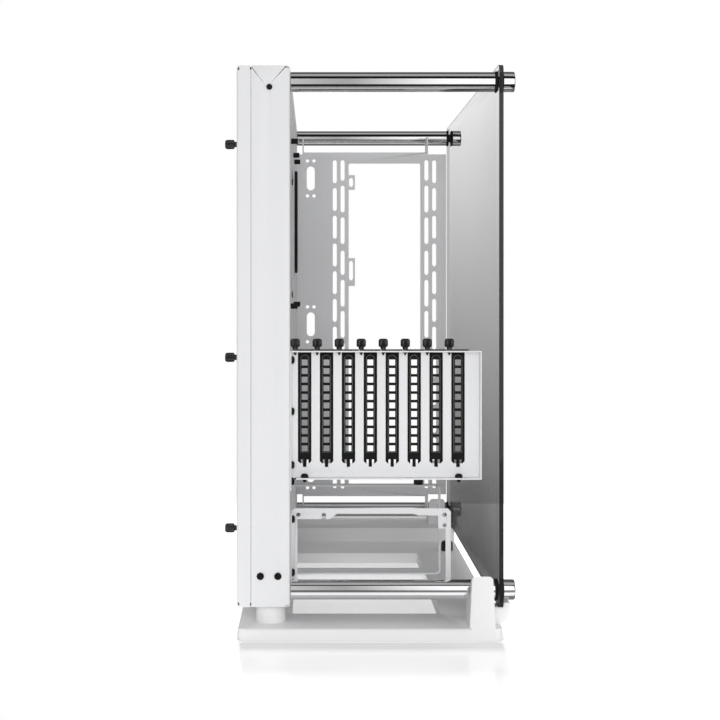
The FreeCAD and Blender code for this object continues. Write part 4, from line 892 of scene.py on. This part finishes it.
def make_floor_finish():
    """Pale floor: it glows to white past the part's sides and, further on, past its ends.

    Under the part and close before it the glow is low, so the shadow shows; before the stand
    the low glow narrows away from it, a painted shade. Polished metal sees the floor dark grey, a
    painted reflection, and a bright strip before the stand, and a patch behind its first window
    lights the wall there."""
    material = start("pale_studio_floor")
    place = split(place_on_piece())
    seen = light_ray("Camera")
    mirrored = light_ray("Glossy")
    ahead = (place["Y"] / cad_high.y).maths("ABSOLUTE", 0)
    narrowing = 1 - NARROWING * (ahead - 1.0).maths("MAXIMUM", 0)
    beyond = (place["X"] / cad_high.x).maths("ABSOLUTE", 0) / narrowing
    side = ramp(beyond, 0.88, 0.95, 0.0, 1.0)
    inside = ahead.maths("LESS_THAN", 1.0) * 0.34
    # Low glow before the stand, narrowing away from it: a painted shade.
    front = ramp(ahead, 1.06, 1.135, 0.06, 0.31) + ramp(ahead, 1.35, 1.7, 0.0, 0.3)
    front = front * (0.3 + 0.7 * seen)
    strength = side.maths("MAXIMUM", inside).maths("MAXIMUM", front)
    # Polished metal sees less of the floor's glow: a painted reflection.
    strength = strength * (0.6 + 0.4 * seen - 0.55 * mirrored)
    strip = ahead.maths("GREATER_THAN", 1.0) * ahead.maths("LESS_THAN", 1.3)
    strength = strength + 0.8 * mirrored * strip
    patch = ramp((place["Y"] + 0.03).maths("ABSOLUTE", 0), 0.02, 0.05, 0.8, 0.0)
    strength = strength + patch * (1 - seen - mirrored)
    glow = Wire.node("ShaderNodeEmission", values={"Color": (1, 1, 1, 1), "Strength": strength})
    # Polished metal sees the floor dark grey: a painted reflection.
    matt = Wire.node("ShaderNodeBsdfDiffuse", values={"Color": blend(mirrored, 0.78, 0.2)})
    gloss = Wire.node("ShaderNodeBsdfGlossy", values={"Color": (0.12, 0.12, 0.12, 1),
                                                      "Roughness": 0.12})
    both = Wire.node("ShaderNodeAddShader", values={0: glow, 1: matt})
    total = Wire.node("ShaderNodeAddShader", values={0: both, 1: gloss})
    Wire.node("ShaderNodeOutputMaterial", values={"Surface": total})
    return material


def floor_plane(name, material):
    bpy.ops.mesh.primitive_plane_add(size=1, location=(0.02, 0.0, 0))
    piece = bpy.context.active_object
    piece.scale = (0.6, 1.1, 1)
    settle(piece)
    piece.name = name
    piece.data.materials.append(material)
    return piece


def make_floor():
    """A plane under the part, and a wide rim round it that polished metal doesn't show."""
    material = make_floor_finish()
    floor_plane("floor_near", material)
    rim = floor_plane("floor_far", material)
    edit(rim)
    bpy.ops.mesh.select_all(action="SELECT")
    bpy.ops.mesh.inset(thickness=2.4, depth=0, use_outset=True)
    choose(rim, "FACE", lambda face: face.calc_area() < 1)
    bpy.ops.mesh.delete(type="FACE")
    done()
    rim.visible_glossy = False


def make_front_panel():
    """A glowing panel that only polished metal shows, brighter towards the glass side."""
    material = start("front_panel_glow")
    across = split(place_on_piece())["X"]
    left = ramp(across, -0.1, -0.01, 0.62, 0.42)
    right = ramp(across, 0.0, 0.14, 0.0, 0.75)
    glow = Wire.node("ShaderNodeEmission", values={"Color": (1, 1, 1, 1), "Strength": left + right})
    Wire.node("ShaderNodeOutputMaterial", values={"Surface": glow})
    bpy.ops.mesh.primitive_plane_add(size=1, location=(0.02, -0.945, 0.505),
                                     rotation=(math.pi / 2, 0, 0))
    panel = bpy.context.active_object
    panel.scale = (1.3, 0.91, 1)
    settle(panel)
    panel.name = "front_panel"
    panel.data.materials.append(material)
    for kind in ("camera", "diffuse", "transmission", "shadow", "volume_scatter"):
        setattr(panel, f"visible_{kind}", False)


def make_lamp(name, place, target, width, height, radiance):
    """A soft lamp at place, turned to target, that neither camera nor metal sees."""
    bpy.ops.object.light_add(type="AREA", location=place)
    lamp = bpy.context.active_object
    lamp.name = name
    lamp.data.shape = "RECTANGLE"
    lamp.data.size = width
    lamp.data.size_y = height
    lamp.data.energy = radiance * math.pi * width * height
    lamp.rotation_euler = (Vector(target) - Vector(place)).to_track_quat("-Z", "Y").to_euler()
    lamp.visible_camera = False
    lamp.visible_glossy = False


CAMERA_PLACE = (-0.0509, -1.47755, 0.3178)


def make_studio():
    make_world()
    make_floor()
    make_front_panel()
    make_lamp("head_light", (-0.05, -1.47, 0.42), (0, -0.25, 0.25), 0.45, 0.45, 10.8)
    make_lamp("side_fill", (1.4, -0.3, 0.8), (0, 0, 0.25), 1.0, 1.0, 0.95)
    bpy.ops.object.camera_add(location=CAMERA_PLACE, rotation=(math.pi / 2, 0, 0))
    camera = bpy.context.active_object
    camera.data.lens = 67.5
    camera.data.sensor_width = 36
    camera.data.shift_x = 0.0625
    camera.data.shift_y = -0.0944
    camera.data.clip_end = 20
    bpy.context.scene.camera = camera
    bpy.context.scene.view_settings.view_transform = "Standard"


make_studio()
